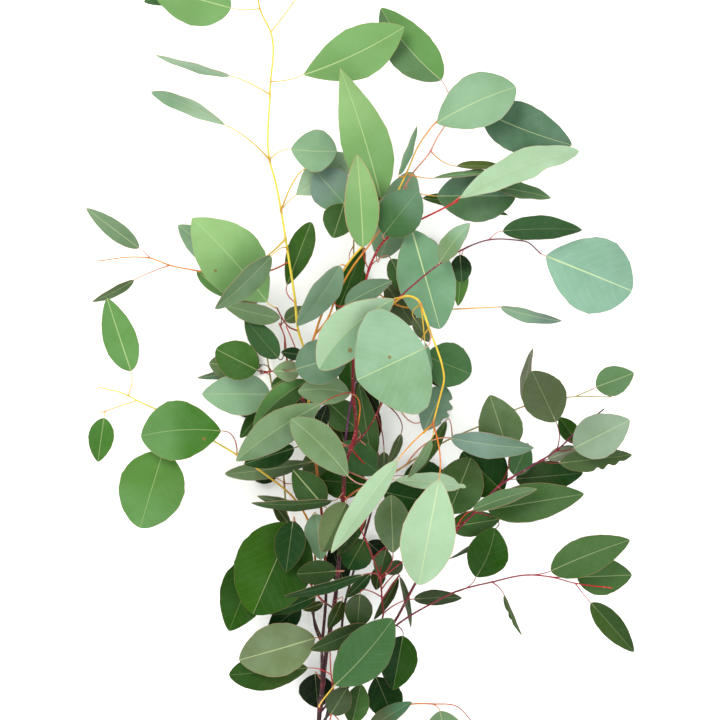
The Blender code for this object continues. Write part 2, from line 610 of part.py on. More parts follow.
def blade(leaf):
    """Closed thin solid of a leaf: rows of left, midrib and right points, pointed at both ends."""
    stations = (0.10, 0.36, 0.66, 0.90) if leaf.wide > WIDE_LEAF else (0.12, 0.45, 0.82)
    share = np.array([0.0] + [row for row in stations for _ in range(3)] + [1.0])
    across = np.array([0.0] + [-1.0, 0.0, 1.0] * len(stations) + [0.0])
    middle = blade_points(leaf, share, across)
    face = blade_frame(leaf)[4]
    count = len(middle)
    points = np.vstack((middle + face * BLADE / 2, middle - face * BLADE / 2))

    upper = [(0, 2, 1), (0, 3, 2)]
    rim = [0, 3]
    for row in range(len(stations) - 1):
        a = 1 + 3 * row
        b = a + 3
        upper += [(a, a + 1, b), (a + 1, b + 1, b), (a + 1, a + 2, b + 2), (a + 1, b + 2, b + 1)]
        rim.append(b + 2)
    last = count - 4
    upper += [(last, last + 1, count - 1), (last + 1, last + 2, count - 1)]
    rim.append(count - 1)
    rim += [1 + 3 * row for row in reversed(range(len(stations)))]

    faces = list(upper) + [(a + count, c + count, b + count) for a, b, c in upper]
    for i, start in enumerate(rim):
        end = rim[(i + 1) % len(rim)]
        faces += [(start, end, end + count), (start, end + count, start + count)]
    mesh = bpy.data.meshes.new("blade")
    mesh.from_pydata(points.tolist(), [], faces)
    work = bmesh.new()
    work.from_mesh(mesh)
    bmesh.ops.recalc_face_normals(work, faces=work.faces)
    work.to_mesh(mesh)
    work.free()
    return mesh


def stalk_points(leaf, twigs):
    """Route of a leaf's stalk: a quadratic curve that meets the blade along its midrib."""
    base, length, along, side, face = blade_frame(leaf)
    start = np.array(nearest(twigs, leaf.root)[0])
    lift = face * (STALK / 2 - BLADE / 2 + 0.05 * MM)
    end = base + lift
    control = end - along * 0.45 * float(np.linalg.norm(end - start))
    control[2] = max(control[2], end[2])
    middle = 0.25 * start + 0.5 * control + 0.25 * end
    inside = blade_points(leaf, np.array([STALK_SINK / length]), np.zeros(1))[0] + lift
    if np.linalg.norm(end - start) < SHORT_STALK:
        return [Vector(start), Vector(inside)]
    return [Vector(start), Vector(middle), Vector(inside)]


def twig_points(shoot, twig, twigs_so_far):
    """Route of a twig in space, from its seat on the parent or its root on the shoot's own twig."""
    points = [spot(*place) for place in twig.route]
    if twigs_so_far:
        points[0] = nearest(twigs_so_far, twig.route[0][:2])[0]
        return points, radii(twig)
    if shoot.parent:
        parent = next(other for other in SHOOTS if other.name == shoot.parent)
        start = seat(parent.twigs, shoot.fork, points[0], radii(twig)[0])
        return [start] + points, np.append(radii(twig)[0], radii(twig))
    return points, radii(twig)


def pieces(shoot):
    """Names and meshes of everything that one shoot is fused from, its first twig leading."""
    made = []
    for number, twig in enumerate(shoot.twigs):
        points, point_radii = twig_points(shoot, twig, shoot.twigs[:number])
        made.append((f"twig_{number}", tube(points, point_radii, TWIG_SIDES)))
    for leaf in shoot.leaves:
        points = stalk_points(leaf, shoot.twigs)
        made.append((leaf.name + "_stalk", tube(points, [STALK / 2] * len(points), STALK_SIDES)))
        made.append((leaf.name, blade(leaf)))
    return made


def build_shoot(shoot, collection):
    """One fused body of a shoot's twigs, leaf stalks and blades."""
    repeats = bpy.data.collections.new(shoot.name + "_repeats")
    bpy.context.scene.collection.children.link(repeats)
    made = pieces(shoot)
    body = bpy.data.objects.new(shoot.name + "_body", made[0][1])
    bpy.context.scene.collection.objects.link(body)
    for name, mesh in made[1:]:
        repeats.objects.link(bpy.data.objects.new(name, mesh))
    union = body.modifiers.new("union", "BOOLEAN")
    union.operation = "UNION"
    union.operand_type = "COLLECTION"
    union.collection = repeats
    union.solver = "MANIFOLD"
    seen = body.evaluated_get(bpy.context.evaluated_depsgraph_get())
    mesh = bpy.data.meshes.new_from_object(seen)
    for piece in list(repeats.objects):
        bpy.data.objects.remove(piece)
    bpy.data.objects.remove(body)
    bpy.data.collections.remove(repeats)
    work = bmesh.new()
    work.from_mesh(mesh)
    bmesh.ops.triangulate(work, faces=work.faces)
    work.to_mesh(mesh)
    work.free()
    link(bpy.data.objects.new(shoot.name, mesh), shoot.name, shoot.colour, collection)


def main():
    """Clear the scene and build every shoot of the branch."""
    for obj in list(bpy.data.objects):
        bpy.data.objects.remove(obj)
    collection = bpy.data.collections.new("eucalyptus_branch")
    bpy.context.scene.collection.children.link(collection)
    for shoot in SHOOTS:
        build_shoot(shoot, collection)


if __name__ == "__main__":
    main()
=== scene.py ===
"""Looks of a cut eucalyptus branch, lying on its lowest leaves and seen from straight above.

Metres, +Z up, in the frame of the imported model. Each leafy shoot of the model is replaced by
finer pieces in the same place: smooth twigs with swollen nodes, tapered stalks and thin cupped
blades with their midribs, veins and waxy bloom.
"""

import json
import logging
import math
from dataclasses import dataclass, field, replace
from enum import Enum

import bpy
import numpy as np
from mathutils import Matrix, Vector

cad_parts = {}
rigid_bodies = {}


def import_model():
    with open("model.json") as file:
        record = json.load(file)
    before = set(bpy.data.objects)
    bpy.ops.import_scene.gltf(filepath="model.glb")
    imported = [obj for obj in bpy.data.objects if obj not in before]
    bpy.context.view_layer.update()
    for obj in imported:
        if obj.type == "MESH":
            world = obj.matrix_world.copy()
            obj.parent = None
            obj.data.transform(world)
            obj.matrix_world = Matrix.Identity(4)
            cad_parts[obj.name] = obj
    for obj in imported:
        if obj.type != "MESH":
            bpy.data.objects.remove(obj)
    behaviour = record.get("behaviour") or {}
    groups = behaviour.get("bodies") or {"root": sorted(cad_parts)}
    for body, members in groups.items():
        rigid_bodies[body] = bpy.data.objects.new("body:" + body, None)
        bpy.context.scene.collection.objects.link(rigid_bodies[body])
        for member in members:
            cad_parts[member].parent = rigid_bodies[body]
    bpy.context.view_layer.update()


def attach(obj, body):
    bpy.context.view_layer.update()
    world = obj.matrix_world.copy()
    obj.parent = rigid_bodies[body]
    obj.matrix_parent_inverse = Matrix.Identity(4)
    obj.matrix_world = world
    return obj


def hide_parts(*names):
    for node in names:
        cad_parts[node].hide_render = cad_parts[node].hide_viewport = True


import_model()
log = logging.getLogger("eucalyptus_branch")

MM = 0.001

# How a pixel of the view from above becomes a place: the eye hangs EYE above the surface, straight
# over the pixel AXIS, a pixel is worth PIXEL at the height MIDDLE and GROUND on the surface, and
# the frame's origin is seen at ORIGIN
EYE = 2400 * MM
MIDDLE = 70 * MM
PIXEL = 0.85 * MM
GROUND = PIXEL * EYE / (EYE - MIDDLE)
AXIS = (360.0, 360.0)
ORIGIN = (372.0, 398.0)
EYE_SPOT = ((AXIS[0] - ORIGIN[0]) * GROUND, (ORIGIN[1] - AXIS[1]) * GROUND)

# Thicknesses of the model's blade and of this one, and the height in mm of a leaf that lies flat
CAD_BLADE = 0.75 * MM
BLADE = 0.5 * MM
REST = 0.375

Socket = bpy.types.NodeSocket
Tree = bpy.types.NodeTree
Spot2 = tuple[float, float]
Spot3 = tuple[float, float, float]


class Outline(Enum):
    """Leaf outlines: the exponent that places the widest point and the one that fills the ends."""

    OVATE = (0.80, 0.72)
    ROUND = (0.92, 0.56)
    LONG = (0.72, 0.95)
    EVEN = (1.00, 0.66)
    DROP = (1.15, 0.80)
    FULL = (1.20, 0.62)
    SLIM = (1.00, 0.80)


class Family(Enum):
    """Leaf families of the record, by age and bloom."""

    SAGE = "sage_leaf"
    FRESH = "fresh_leaf"
    DEEP = "deep_leaf"


class Tone(Enum):
    """Leaf colours, each with its family: sRGB hex of the upper side as it looks in soft daylight."""

    # Each tone is a colour as seen, shade included: the darkest, such as NIGHT and INK, go to leaves
    # low under the branch and hold painted shade as well as their deep green
    PALE = ("#b4d6ae", Family.SAGE)
    FROST = ("#98be9c", Family.SAGE)
    GLAUCOUS = ("#8fb68e", Family.SAGE)
    JADE = ("#80b086", Family.SAGE)
    OPAL = ("#90bea4", Family.SAGE)
    BLUE = ("#809f8f", Family.SAGE)
    SLATE = ("#72927b", Family.SAGE)
    MIST = ("#6b8e70", Family.SAGE)
    SAGE = ("#739269", Family.SAGE)
    CELERY = ("#82a172", Family.SAGE)
    HOAR = ("#93ab8f", Family.SAGE)
    ASH = ("#7e8470", Family.SAGE)
    GREY_SAGE = ("#75865b", Family.SAGE)
    WILLOW = ("#61794c", Family.SAGE)
    TEAL = ("#587f62", Family.SAGE)
    SPRING = ("#9bc580", Family.FRESH)
    LIME = ("#82b16c", Family.FRESH)
    FRESH = ("#6b9d57", Family.FRESH)
    FERN = ("#668b5d", Family.FRESH)
    APPLE = ("#5f9141", Family.FRESH)
    GRASS = ("#4b8031", Family.FRESH)
    CLOVER = ("#496b39", Family.FRESH)
    PALM = ("#3e6624", Family.FRESH)
    SEA = ("#4e744a", Family.DEEP)
    STONE = ("#5c674b", Family.DEEP)
    MOSS = ("#5c6c36", Family.DEEP)
    OLIVE = ("#536643", Family.DEEP)
    KELP = ("#3e5d3e", Family.DEEP)
    DRAB = ("#47513c", Family.DEEP)
    IVY = ("#455d30", Family.DEEP)
    LAUREL = ("#3c5030", Family.DEEP)
    FOREST = ("#335520", Family.DEEP)
    DUSK = ("#3a4023", Family.DEEP)
    YEW = ("#294429", Family.DEEP)
    PINE = ("#264318", Family.DEEP)
    BOTTLE = ("#213813", Family.DEEP)
    NIGHT = ("#18300a", Family.DEEP)
    INK = ("#1e230f", Family.DEEP)


class BarkSlot(Enum):
    """Bark slots of the record."""

    RED = "red_bark"
    YELLOW = "yellow_bark"


class Bark(Enum):
    """Twig and stalk colours: sRGB hex."""

    INKY = "#26101c"
    PLUM = "#481a30"
    VIOLET = "#7c4470"
    PURPLE = "#742848"
    WINE = "#741622"
    CRIMSON = "#a01c34"
    RED = "#c42c24"
    RUST = "#b04c20"
    ORANGE = "#e07c24"
    AMBER = "#e4982c"
    GOLD = "#e4b83c"
    YELLOW = "#eed84c"
    OLIVE = "#a49650"
    BLUSH = "#d89078"
    PINK = "#e0a098"


@dataclass(frozen=True)
class Bite:
    """A notch in a leaf's edge: side is -1 left or 1 right, place and length are shares of the leaf."""

    side: int
    place: float
    length: float
    depth: float


@dataclass(frozen=True)
class Spot:
    """A blemish: place along as a share, place across from -1 to 1, radius in mm."""

    along: float
    across: float
    radius: float


@dataclass(frozen=True)
class Leaf:
    """A leaf: pixels across and down, heights in mm, width seen in pixels, roll in degrees.

    Its stalk leaves the twig at root. Tone is its colour as seen in place, so it also holds painted
    shade where the leaf lies in shadow. Far is the one towards its tip and right the one of its right
    half, each partly the leaf's own colour and partly painted light and shade of its bends and tilt.
    Arch and sway are shares of its length, cup and wave of its half width, and red, rib and veins
    say how strongly its margin, midrib and side veins show.
    """

    name: str
    root: Spot2
    base: Spot3
    tip: Spot3
    wide: float
    tone: Tone
    roll: float = 0.0
    arch: float = 0.03
    sway: float = 0.0
    cup: float = 0.14
    wave: float = 0.04
    form: Outline = Outline.OVATE
    far: Tone | None = None
    right: Tone | None = None
    red: float = 0.35
    rib: float = 0.36
    veins: float = 0.10
    spot: Spot | None = None
    bites: tuple[Bite, ...] = ()
    stalk: Bark | None = None

    @property
    def seed(self) -> int:
        """Number of the leaf's own ruffles and of the phase of its painted shading, worked out from its
        name.
        """
        return sum(map(ord, self.name)) * 7 % 83

    @property
    def rests(self) -> bool:
        """Whether the branch rests on the leaf, which is then flat."""
        return self.cup == 0.0


@dataclass(frozen=True)
class Twig:
    """A twig: diameters in mm at start and end, its route across, down, height, and its barks."""

    thick: float
    thin: float
    route: tuple[Spot3, ...]
    barks: tuple[Bark, ...]


def linear(hex_colour: str) -> np.ndarray:
    """Linear red, green and blue of an sRGB hex colour.

    Args:
        hex_colour: the colour as #rrggbb.

    Returns:
        Three numbers from 0 to 1.
    """
    srgb = np.array([int(hex_colour[i:i + 2], 16) for i in (1, 3, 5)]) / 255
    return np.where(srgb <= 0.04045, srgb / 12.92, ((srgb + 0.055) / 1.055) ** 2.4)


def spots(places: object) -> np.ndarray:
    """World places of spots seen at pixels.

    The distance from the eye's axis is the pixels from AXIS times PIXEL times the share
    (EYE - z) / (EYE - MIDDLE).

    Args:
        places: rows of across, down and height in mm.

    Returns:
        Rows of x, y, z in metres.
    """
    rows = np.atleast_2d(np.asarray(places, float))
    z = rows[:, 2] * MM
    scale = PIXEL * (EYE - z) / (EYE - MIDDLE)
    x = (rows[:, 0] - AXIS[0]) * scale + EYE_SPOT[0]
    y = (AXIS[1] - rows[:, 1]) * scale + EYE_SPOT[1]
    return np.stack((x, y, z), 1)


def pixels(points: np.ndarray) -> np.ndarray:
    """Across and down pixels at which world points are seen, the inverse of spots."""
    scale = PIXEL * (EYE - points[:, 2]) / (EYE - MIDDLE)
    across = (points[:, 0] - EYE_SPOT[0]) / scale + AXIS[0]
    down = AXIS[1] - (points[:, 1] - EYE_SPOT[1]) / scale
    return np.stack((across, down), 1)


FEWEST_SAMPLES = 6


def smooth_line(points: np.ndarray, values: np.ndarray,
                step: float) -> tuple[np.ndarray, np.ndarray]:
    """Smooth curve through points, with values carried along it.

    Between two points it is a cubic with the points' own places and slopes at its ends, and the
    slope at a point is the weighted mean of its two neighbouring chords.

    Args:
        points: rows of x, y, z.
        values: one row of numbers for each point.
        step: distance between samples in metres.

    Returns:
        The samples' places and their values.
    """
    chord = np.linalg.norm(np.diff(points, axis=0), axis=1)
    knots = np.concatenate(([0.0], np.cumsum(chord)))
    slope = np.gradient(points, knots, axis=0)
    way = np.linspace(0, knots[-1], max(FEWEST_SAMPLES, int(knots[-1] / step)))
    i = np.clip(np.searchsorted(knots, way, side="right") - 1, 0, len(chord) - 1)
    h = chord[i][:, None]
    u = (way - knots[i])[:, None] / h
    line = ((2 * u**3 - 3 * u**2 + 1) * points[i] + (u**3 - 2 * u**2 + u) * h * slope[i]
            + (3 * u**2 - 2 * u**3) * points[i + 1] + (u**3 - u**2) * h * slope[i + 1])
    carried = np.stack([np.interp(way, knots, column) for column in values.T], 1)
    return line, carried


CREASE = math.radians(55)  # faces that meet more sharply keep their edge


@dataclass
class Skin:
    """A mesh in the making: points, faces and the values that its finish reads at each point."""

    points: np.ndarray
    quads: np.ndarray
    fans: np.ndarray
    tone: np.ndarray
    place: np.ndarray
    nature: np.ndarray
    blemish: np.ndarray

    @classmethod
    def swept(cls, rings: np.ndarray, ends: np.ndarray, values: dict[str, np.ndarray]) -> "Skin":
        """Closed surface of rings joined by quads, with a fan to a pole at each end.

        Args:
            rings: rows x around x 3 places, turning right-handed about the way along.
            ends: the two poles.
            values: rows x around x 3 values for tone, place, nature and blemish.

        Returns:
            The skin, faces outwards. A pole takes the values of its ring's first point.
        """
        rows, around = rings.shape[:2]
        row, col = np.meshgrid(np.arange(rows - 1), np.arange(around), indexing="ij")
        after = (col + 1) % around
        quads = np.stack((row * around + col, row * around + after,
                          (row + 1) * around + after, (row + 1) * around + col), -1).reshape(-1, 4)
        k = np.arange(around)
        turned = (k + 1) % around
        first = np.full(around, rows * around)
        top = (rows - 1) * around
        fans = np.vstack((np.stack((first, turned, k), 1),
                          np.stack((first + 1, top + k, top + turned), 1)))
        filled = {key: np.vstack((grid.reshape(-1, 3), grid[0, :1], grid[-1, :1]))
                  for key, grid in values.items()}
        return cls(np.vstack((rings.reshape(-1, 3), ends)), quads, fans, **filled)

    @classmethod
    def joined(cls, skins: list["Skin"]) -> "Skin":
        """One skin of several, each still closed by itself."""
        starts = np.cumsum([0] + [len(skin.points) for skin in skins[:-1]])
        keys = ("points", "tone", "place", "nature", "blemish")
        stacked = {key: np.vstack([getattr(skin, key) for skin in skins]) for key in keys}
        quads = np.vstack([skin.quads + start for skin, start in zip(skins, starts)])
        fans = np.vstack([skin.fans + start for skin, start in zip(skins, starts)])
        return cls(quads=quads, fans=fans, **stacked)

    def as_object(self, name: str, material: bpy.types.Material) -> bpy.types.Object:
        """Object of this skin with its values as attributes of the mesh.

        Args:
            name: the piece's name.
            material: the piece's finish.

        Returns:
            The object, at the origin.
        """
        mesh = bpy.data.meshes.new(name)
        mesh.from_pydata(self.points.tolist(), [], self.quads.tolist() + self.fans.tolist())
        colour = mesh.attributes.new("tone", "FLOAT_COLOR", "POINT")
        rgba = np.hstack((self.tone, np.ones((len(self.tone), 1))))
        colour.data.foreach_set("color", rgba.astype(np.float32).ravel())
        for key in ("place", "nature", "blemish"):
            layer = mesh.attributes.new(key, "FLOAT_VECTOR", "POINT")
            layer.data.foreach_set("vector", getattr(self, key).astype(np.float32).ravel())
        mesh.shade_smooth()
        mesh.set_sharp_from_angle(angle=CREASE)
        mesh.materials.append(material)
        piece = bpy.data.objects.new(name, mesh)
        bpy.context.scene.collection.objects.link(piece)
        return piece


NEARLY_UP = (0.09, 0.06, 1.0)  # no twig or stalk runs this way, so a cross product with it is safe
ROOT_DOME, TIP_DOME = 0.3, 0.7  # how far a rod's ends bulge, in shares of its radius


def rod(line: np.ndarray, radius: np.ndarray, tone: np.ndarray, sides: int) -> Skin:
    """Round rod along a line.

    A ring at each point stands square to the line: side is the way along crossed with NEARLY_UP,
    up is the way along crossed with side, and a point at the turn a is the centre plus radius
    times (cos a side + sin a up).

    Args:
        line: rows of x, y, z.
        radius: radius at each point of the line.
        tone: linear colour at each point of the line.
        sides: points around.

    Returns:
        The closed skin. Its place values are the way along and the two coordinates across, in mm.
    """
    along = np.gradient(line, axis=0)
    along /= np.linalg.norm(along, axis=1)[:, None]
    side = np.cross(along, NEARLY_UP)
    side /= np.linalg.norm(side, axis=1)[:, None]
    up = np.cross(along, side)
    turn = np.linspace(0, 2 * np.pi, sides, endpoint=False)[None, :, None]
    spoke = np.cos(turn) * side[:, None] + np.sin(turn) * up[:, None]
    rings = line[:, None] + radius[:, None, None] * spoke
    way = np.concatenate(([0.0], np.cumsum(np.linalg.norm(np.diff(line, axis=0), axis=1))))
    flat = np.broadcast_to(turn[..., 0], rings.shape[:2])
    place = np.stack((np.broadcast_to(way[:, None], rings.shape[:2]),
                      radius[:, None] * np.cos(flat), radius[:, None] * np.sin(flat)), -1) / MM
    ends = np.stack((line[0] - along[0] * radius[0] * ROOT_DOME,
                     line[-1] + along[-1] * radius[-1] * TIP_DOME))
    values = {"tone": np.broadcast_to(tone[:, None], rings.shape), "place": place,
              "nature": np.zeros(rings.shape), "blemish": np.zeros(rings.shape)}
    return Skin.swept(rings, ends, values)


@dataclass
class BarkedTwig:
    """A twig of a shoot: its smooth axis, its swollen nodes and its colours.

    The model's thin twigs are stouter than real ones, by up to a third, so the radius is the
    model's times SHARE_KEPT, which grows with the diameter in mm at the twig's start.
    """

    twig: Twig
    start: np.ndarray | None
    nodes: list[Spot2]
    line: np.ndarray = field(init=False)
    radius: np.ndarray = field(init=False)
    tone: np.ndarray = field(init=False)

    STEP = 2.2 * MM
    SIDES = 12
    LIGHT = 0.66
    SHEEN = 0.02
    DARKEST = 0.003
    DIAMETERS = (1.5, 2.6, 3.4, 5.0)
    SHARE_KEPT = (0.78, 0.78, 0.86, 0.94)
    NODE_PIXELS = 3.0
    SWELLING, SWELLING_REACH = 0.16, 2.4 * MM
    BLUSH, BLUSH_REACH = 0.35, 3.2 * MM

    def __post_init__(self) -> None:
        """Work out the axis, radius and colour."""
        points = spots(self.twig.route)
        count = len(points)
        thick = np.linspace(self.twig.thick, self.twig.thin, count) * MM / 2
        thick = thick * np.interp(self.twig.thick, self.DIAMETERS, self.SHARE_KEPT)
        if self.start is not None:
            points = np.vstack((self.start, points))
            thick = np.append(thick[0], thick)
        self.line, carried = smooth_line(points, thick[:, None], self.STEP)
        self.radius = carried[:, 0]
        shades = np.array([self.under(bark) for bark in self.twig.barks])
        share = np.linspace(0, 1, len(self.line))
        marks = np.linspace(0, 1, len(shades))
        self.tone = np.stack([np.interp(share, marks, column) for column in shades.T], 1)
        self.swell()

    @classmethod
    def under(cls, bark: Bark) -> np.ndarray:
        """Linear colour of the bark for a colour as seen: less the sheen, times LIGHT."""
        return (linear(bark.value) - cls.SHEEN).clip(cls.DARKEST) * cls.LIGHT

    def swell(self) -> None:
        """Thicken and redden the twig at its nodes: both fall off as a bell over 2 to 3 mm."""
        seen = pixels(self.line)
        red = self.under(Bark.CRIMSON)
        for node in self.nodes:
            gap = np.linalg.norm(seen - np.array(node), axis=1)
            if gap.min() > self.NODE_PIXELS:
                continue
            far = np.linalg.norm(self.line - self.line[gap.argmin()], axis=1)
            self.radius = self.radius * (1 + self.SWELLING * np.exp(-(far / self.SWELLING_REACH) ** 2))
            blush = self.BLUSH * np.exp(-(far / self.BLUSH_REACH) ** 2)[:, None]
            self.tone = self.tone * (1 - blush) + red * blush

    def nearest(self, pixel: Spot2) -> tuple[float, np.ndarray, np.ndarray]:
        """Distance in pixels, place and colour of the point of the axis seen nearest to a pixel."""
        gap = np.linalg.norm(pixels(self.line) - np.array(pixel), axis=1)
        i = int(gap.argmin())
        return float(gap[i]), self.line[i], self.tone[i]

    def skin(self) -> Skin:
        """The twig's closed skin."""
        return rod(self.line, self.radius, self.tone, self.SIDES)


@dataclass
class Blade:
    """A leaf blade: a thin cupped shell with a keeled midrib and a lightly waved margin.

    ENDS is what the rows leave off at each end, as an angle of the cosine that spaces them. The
    keel tapers by KEEL_TAPER towards the tip and falls off as a bell over KEEL_REACH. RUFFLES are
    rows of ripples a length, turn by the seed and height in shares of the half width.
    """

    leaf: Leaf

    ROWS = 26
    FINE_ROWS = 90
    ENDS = 0.06
    COLUMNS = np.array([-1.0, -0.93, -0.80, -0.60, -0.38, -0.18, -0.06, 0.0,
                        0.06, 0.18, 0.38, 0.60, 0.80, 0.93, 1.0])
    KEEL = 0.34 * MM
    KEEL_TAPER = 0.75
    KEEL_REACH = 0.9 * MM
    GROOVE = 0.3
    THIN_EDGE, THINNEST = 3 * MM, 0.35
    RUFFLES = ((31, 1.0, 0.010), (57, 2.1, 0.008))
    WAVES = 2.3
    UNDERSIDE, UNDERSIDE_SHARE = "#9cb49c", 0.4
    LIGHT = 0.475
    HAZE = (0.015, 0.004, 0.016)
    DARKEST = 0.002
    # Painted light and shade: a leaf's far tone takes over from FAR_FROM of its length, over FAR_OVER
    # more
    FAR_FROM, FAR_OVER = 0.35, 0.4
    # Painted shade: how much each leaf is lightened and darkened along and across
    PAINTED_SHADING = (0.06, 0.05)
    LINES_SEEN = {Family.SAGE: 0.85, Family.FRESH: 0.8, Family.DEEP: 0.42}

    def axes(self) -> tuple[np.ndarray, float, np.ndarray, np.ndarray, np.ndarray]:
        """Base, length, and the directions along, to the side and out of the face."""
        base, tip = spots([self.leaf.base, self.leaf.tip])
        length = float(np.linalg.norm(tip - base))
        along = (tip - base) / length
        level = np.cross(along, (0.0, 0.0, 1.0))
        level /= np.linalg.norm(level)
        upright = np.cross(level, along)
        turn = math.radians(self.leaf.roll)
        side = level * math.cos(turn) + upright * math.sin(turn)
        face = upright * math.cos(turn) - level * math.sin(turn)
        return base, length, along, side, face

    def half_width(self, share: np.ndarray, across: np.ndarray) -> np.ndarray:
        """Half the width at each row and side.

        It is the sine of a half turn times the share to the power place, all to the power fill,
        with the ruffles added and the bites taken out as bells.

        Args:
            share: 0 at the base to 1 at the tip.
            across: -1 to 1 over the width.

        Returns:
            Metres, on the grid of share and across.
        """
        leaf = self.leaf
        place, fill = leaf.form.value
        full = leaf.wide * PIXEL / math.cos(math.radians(leaf.roll))
        half = full / 2 * np.sin(np.pi * share**place).clip(0) ** fill
        half = half * (1 + sum(height * np.sin(ripples * share + turn * leaf.seed)
                               for ripples, turn, height in self.RUFFLES))
        grid = np.repeat(half[:, None], len(across), 1)
        for bite in leaf.bites:
            dent = 1 - bite.depth * np.exp(-(((share - bite.place) / bite.length) ** 2))
            grid[:, across * bite.side > 0] *= dent[:, None]
        return grid

    def surface(self, share: np.ndarray, across: np.ndarray) -> tuple[np.ndarray, np.ndarray]:
        """Middle surface of the blade.

        The midrib bows up and sideways as a parabola 4t(1-t) of the length. The edges rise from
        it by the cup, and a wave that grows with the square of the distance from the midrib
        runs along them.

        Args:
            share: 0 at the base to 1 at the tip.
            across: -1 to 1 over the width.

        Returns:
            Places on the grid, and the half widths.
        """
        leaf = self.leaf
        base, length, along, side, face = self.axes()
        half = self.half_width(share, across)
        bow = (4 * share * (1 - share) * length)[:, None]
        lift = leaf.arch * bow + leaf.cup * half * np.abs(across)
        if not leaf.rests:
            swing = np.sin(2 * np.pi * self.WAVES * share[:, None] + leaf.seed + 1.9 * (across > 0))
            lift = lift + leaf.wave * half * across**2 * swing
        shift = leaf.sway * bow + half * across
        places = (base + (share * length)[:, None, None] * along
                  + shift[..., None] * side + lift[..., None] * face)
        return places, half

    def skin(self) -> Skin:
        """Closed thin shell: each ring runs back along the underside and out along the upper side."""
        leaf = self.leaf
        rows = self.FINE_ROWS if leaf.bites else self.ROWS
        share = (1 - np.cos(np.linspace(self.ENDS, np.pi - self.ENDS, rows))) / 2
        across = self.COLUMNS
        places, half = self.surface(share, across)
        _, length, _, _, face = self.axes()
        taper = (1 - self.KEEL_TAPER * share)[:, None]
        bell = np.exp(-((half * np.abs(across) / self.KEEL_REACH) ** 2))
        keel = (0.0 if leaf.rests else self.KEEL) * taper * bell
        sink = (CAD_BLADE - BLADE) / 2
        thin = np.clip(half / self.THIN_EDGE, self.THINNEST, 1.0)
        over = places + (BLADE / 2 * thin - sink - self.GROOVE * keel)[..., None] * face
        under = places - (BLADE / 2 * thin + sink + keel)[..., None] * face
        rings = np.concatenate((under[:, ::-1], over), 1)
        poles, _ = self.surface(np.array([0.0, 1.0]), np.zeros(1))
        ends = poles[:, 0] - face * sink
        return Skin.swept(rings, ends, self.values(share, across, half, length))

    def under(self, hex_colour: str) -> np.ndarray:
        """Linear colour of the leaf under its wax, for a colour as seen.

        The wax and the studio's light add HAZE to what is seen and scale the rest by 1 / LIGHT,
        so the colour below is (seen - HAZE) times LIGHT.
        """
        return (linear(hex_colour) - np.array(self.HAZE)).clip(self.DARKEST) * self.LIGHT

    def values(self, share: np.ndarray, across: np.ndarray, half: np.ndarray,
               length: float) -> dict[str, np.ndarray]:
        """What the leaf finish reads: colour, place on the leaf in mm, its nature and its blemish.

        Args:
            share: 0 at the base to 1 at the tip.
            across: -1 to 1 over the width.
            half: half widths on the grid.
            length: the leaf's length.

        Returns:
            Grids of three numbers, underside first as in the rings.
        """
        leaf = self.leaf
        tone = np.ones((len(share), len(across), 1)) * self.under(leaf.tone.value[0])
        # Painted light and shade, besides the leaf's own colour: the right half takes the tone right
        # and the part towards the tip the tone far
        if leaf.right is not None:
            tone[:, across > 0] = self.under(leaf.right.value[0])
        if leaf.far is not None:
            turn = np.clip((share - self.FAR_FROM) / self.FAR_OVER, 0, 1)
            turn = (turn * turn * (3 - 2 * turn))[:, None, None]
            tone = tone * (1 - turn) + self.under(leaf.far.value[0]) * turn
        # Painted shade: the leaf is made lighter and darker along and across, with a phase set by its
        # seed
        painted_shading = (1 + self.PAINTED_SHADING[0] * np.cos(np.pi * share[:, None] + leaf.seed)
                 + self.PAINTED_SHADING[1] * np.sin(2.2 * across + 1.3 * leaf.seed))
        tone = tone * painted_shading[..., None]
        pale = tone * (1 - self.UNDERSIDE_SHARE) + self.under(self.UNDERSIDE) * self.UNDERSIDE_SHARE
        place = np.stack(np.broadcast_arrays((share * length)[:, None], half * across,
                                             half * (1 - np.abs(across))), -1) / MM
        seen = self.LINES_SEEN[leaf.tone.value[1]]
        nature = np.ones(tone.shape) * (leaf.red * seen, leaf.veins, leaf.rib * seen)
        blemish = np.zeros(tone.shape)
        if leaf.spot is not None:
            middle = leaf.wide * PIXEL / 2 * leaf.spot.across
            blemish = blemish + (leaf.spot.along * length / MM, middle / MM, leaf.spot.radius)
        plain = {"place": place, "nature": nature, "blemish": blemish}
        both = {key: np.concatenate((grid[:, ::-1], grid), 1) for key, grid in plain.items()}
        both["tone"] = np.concatenate((pale[:, ::-1], tone), 1)
        return both


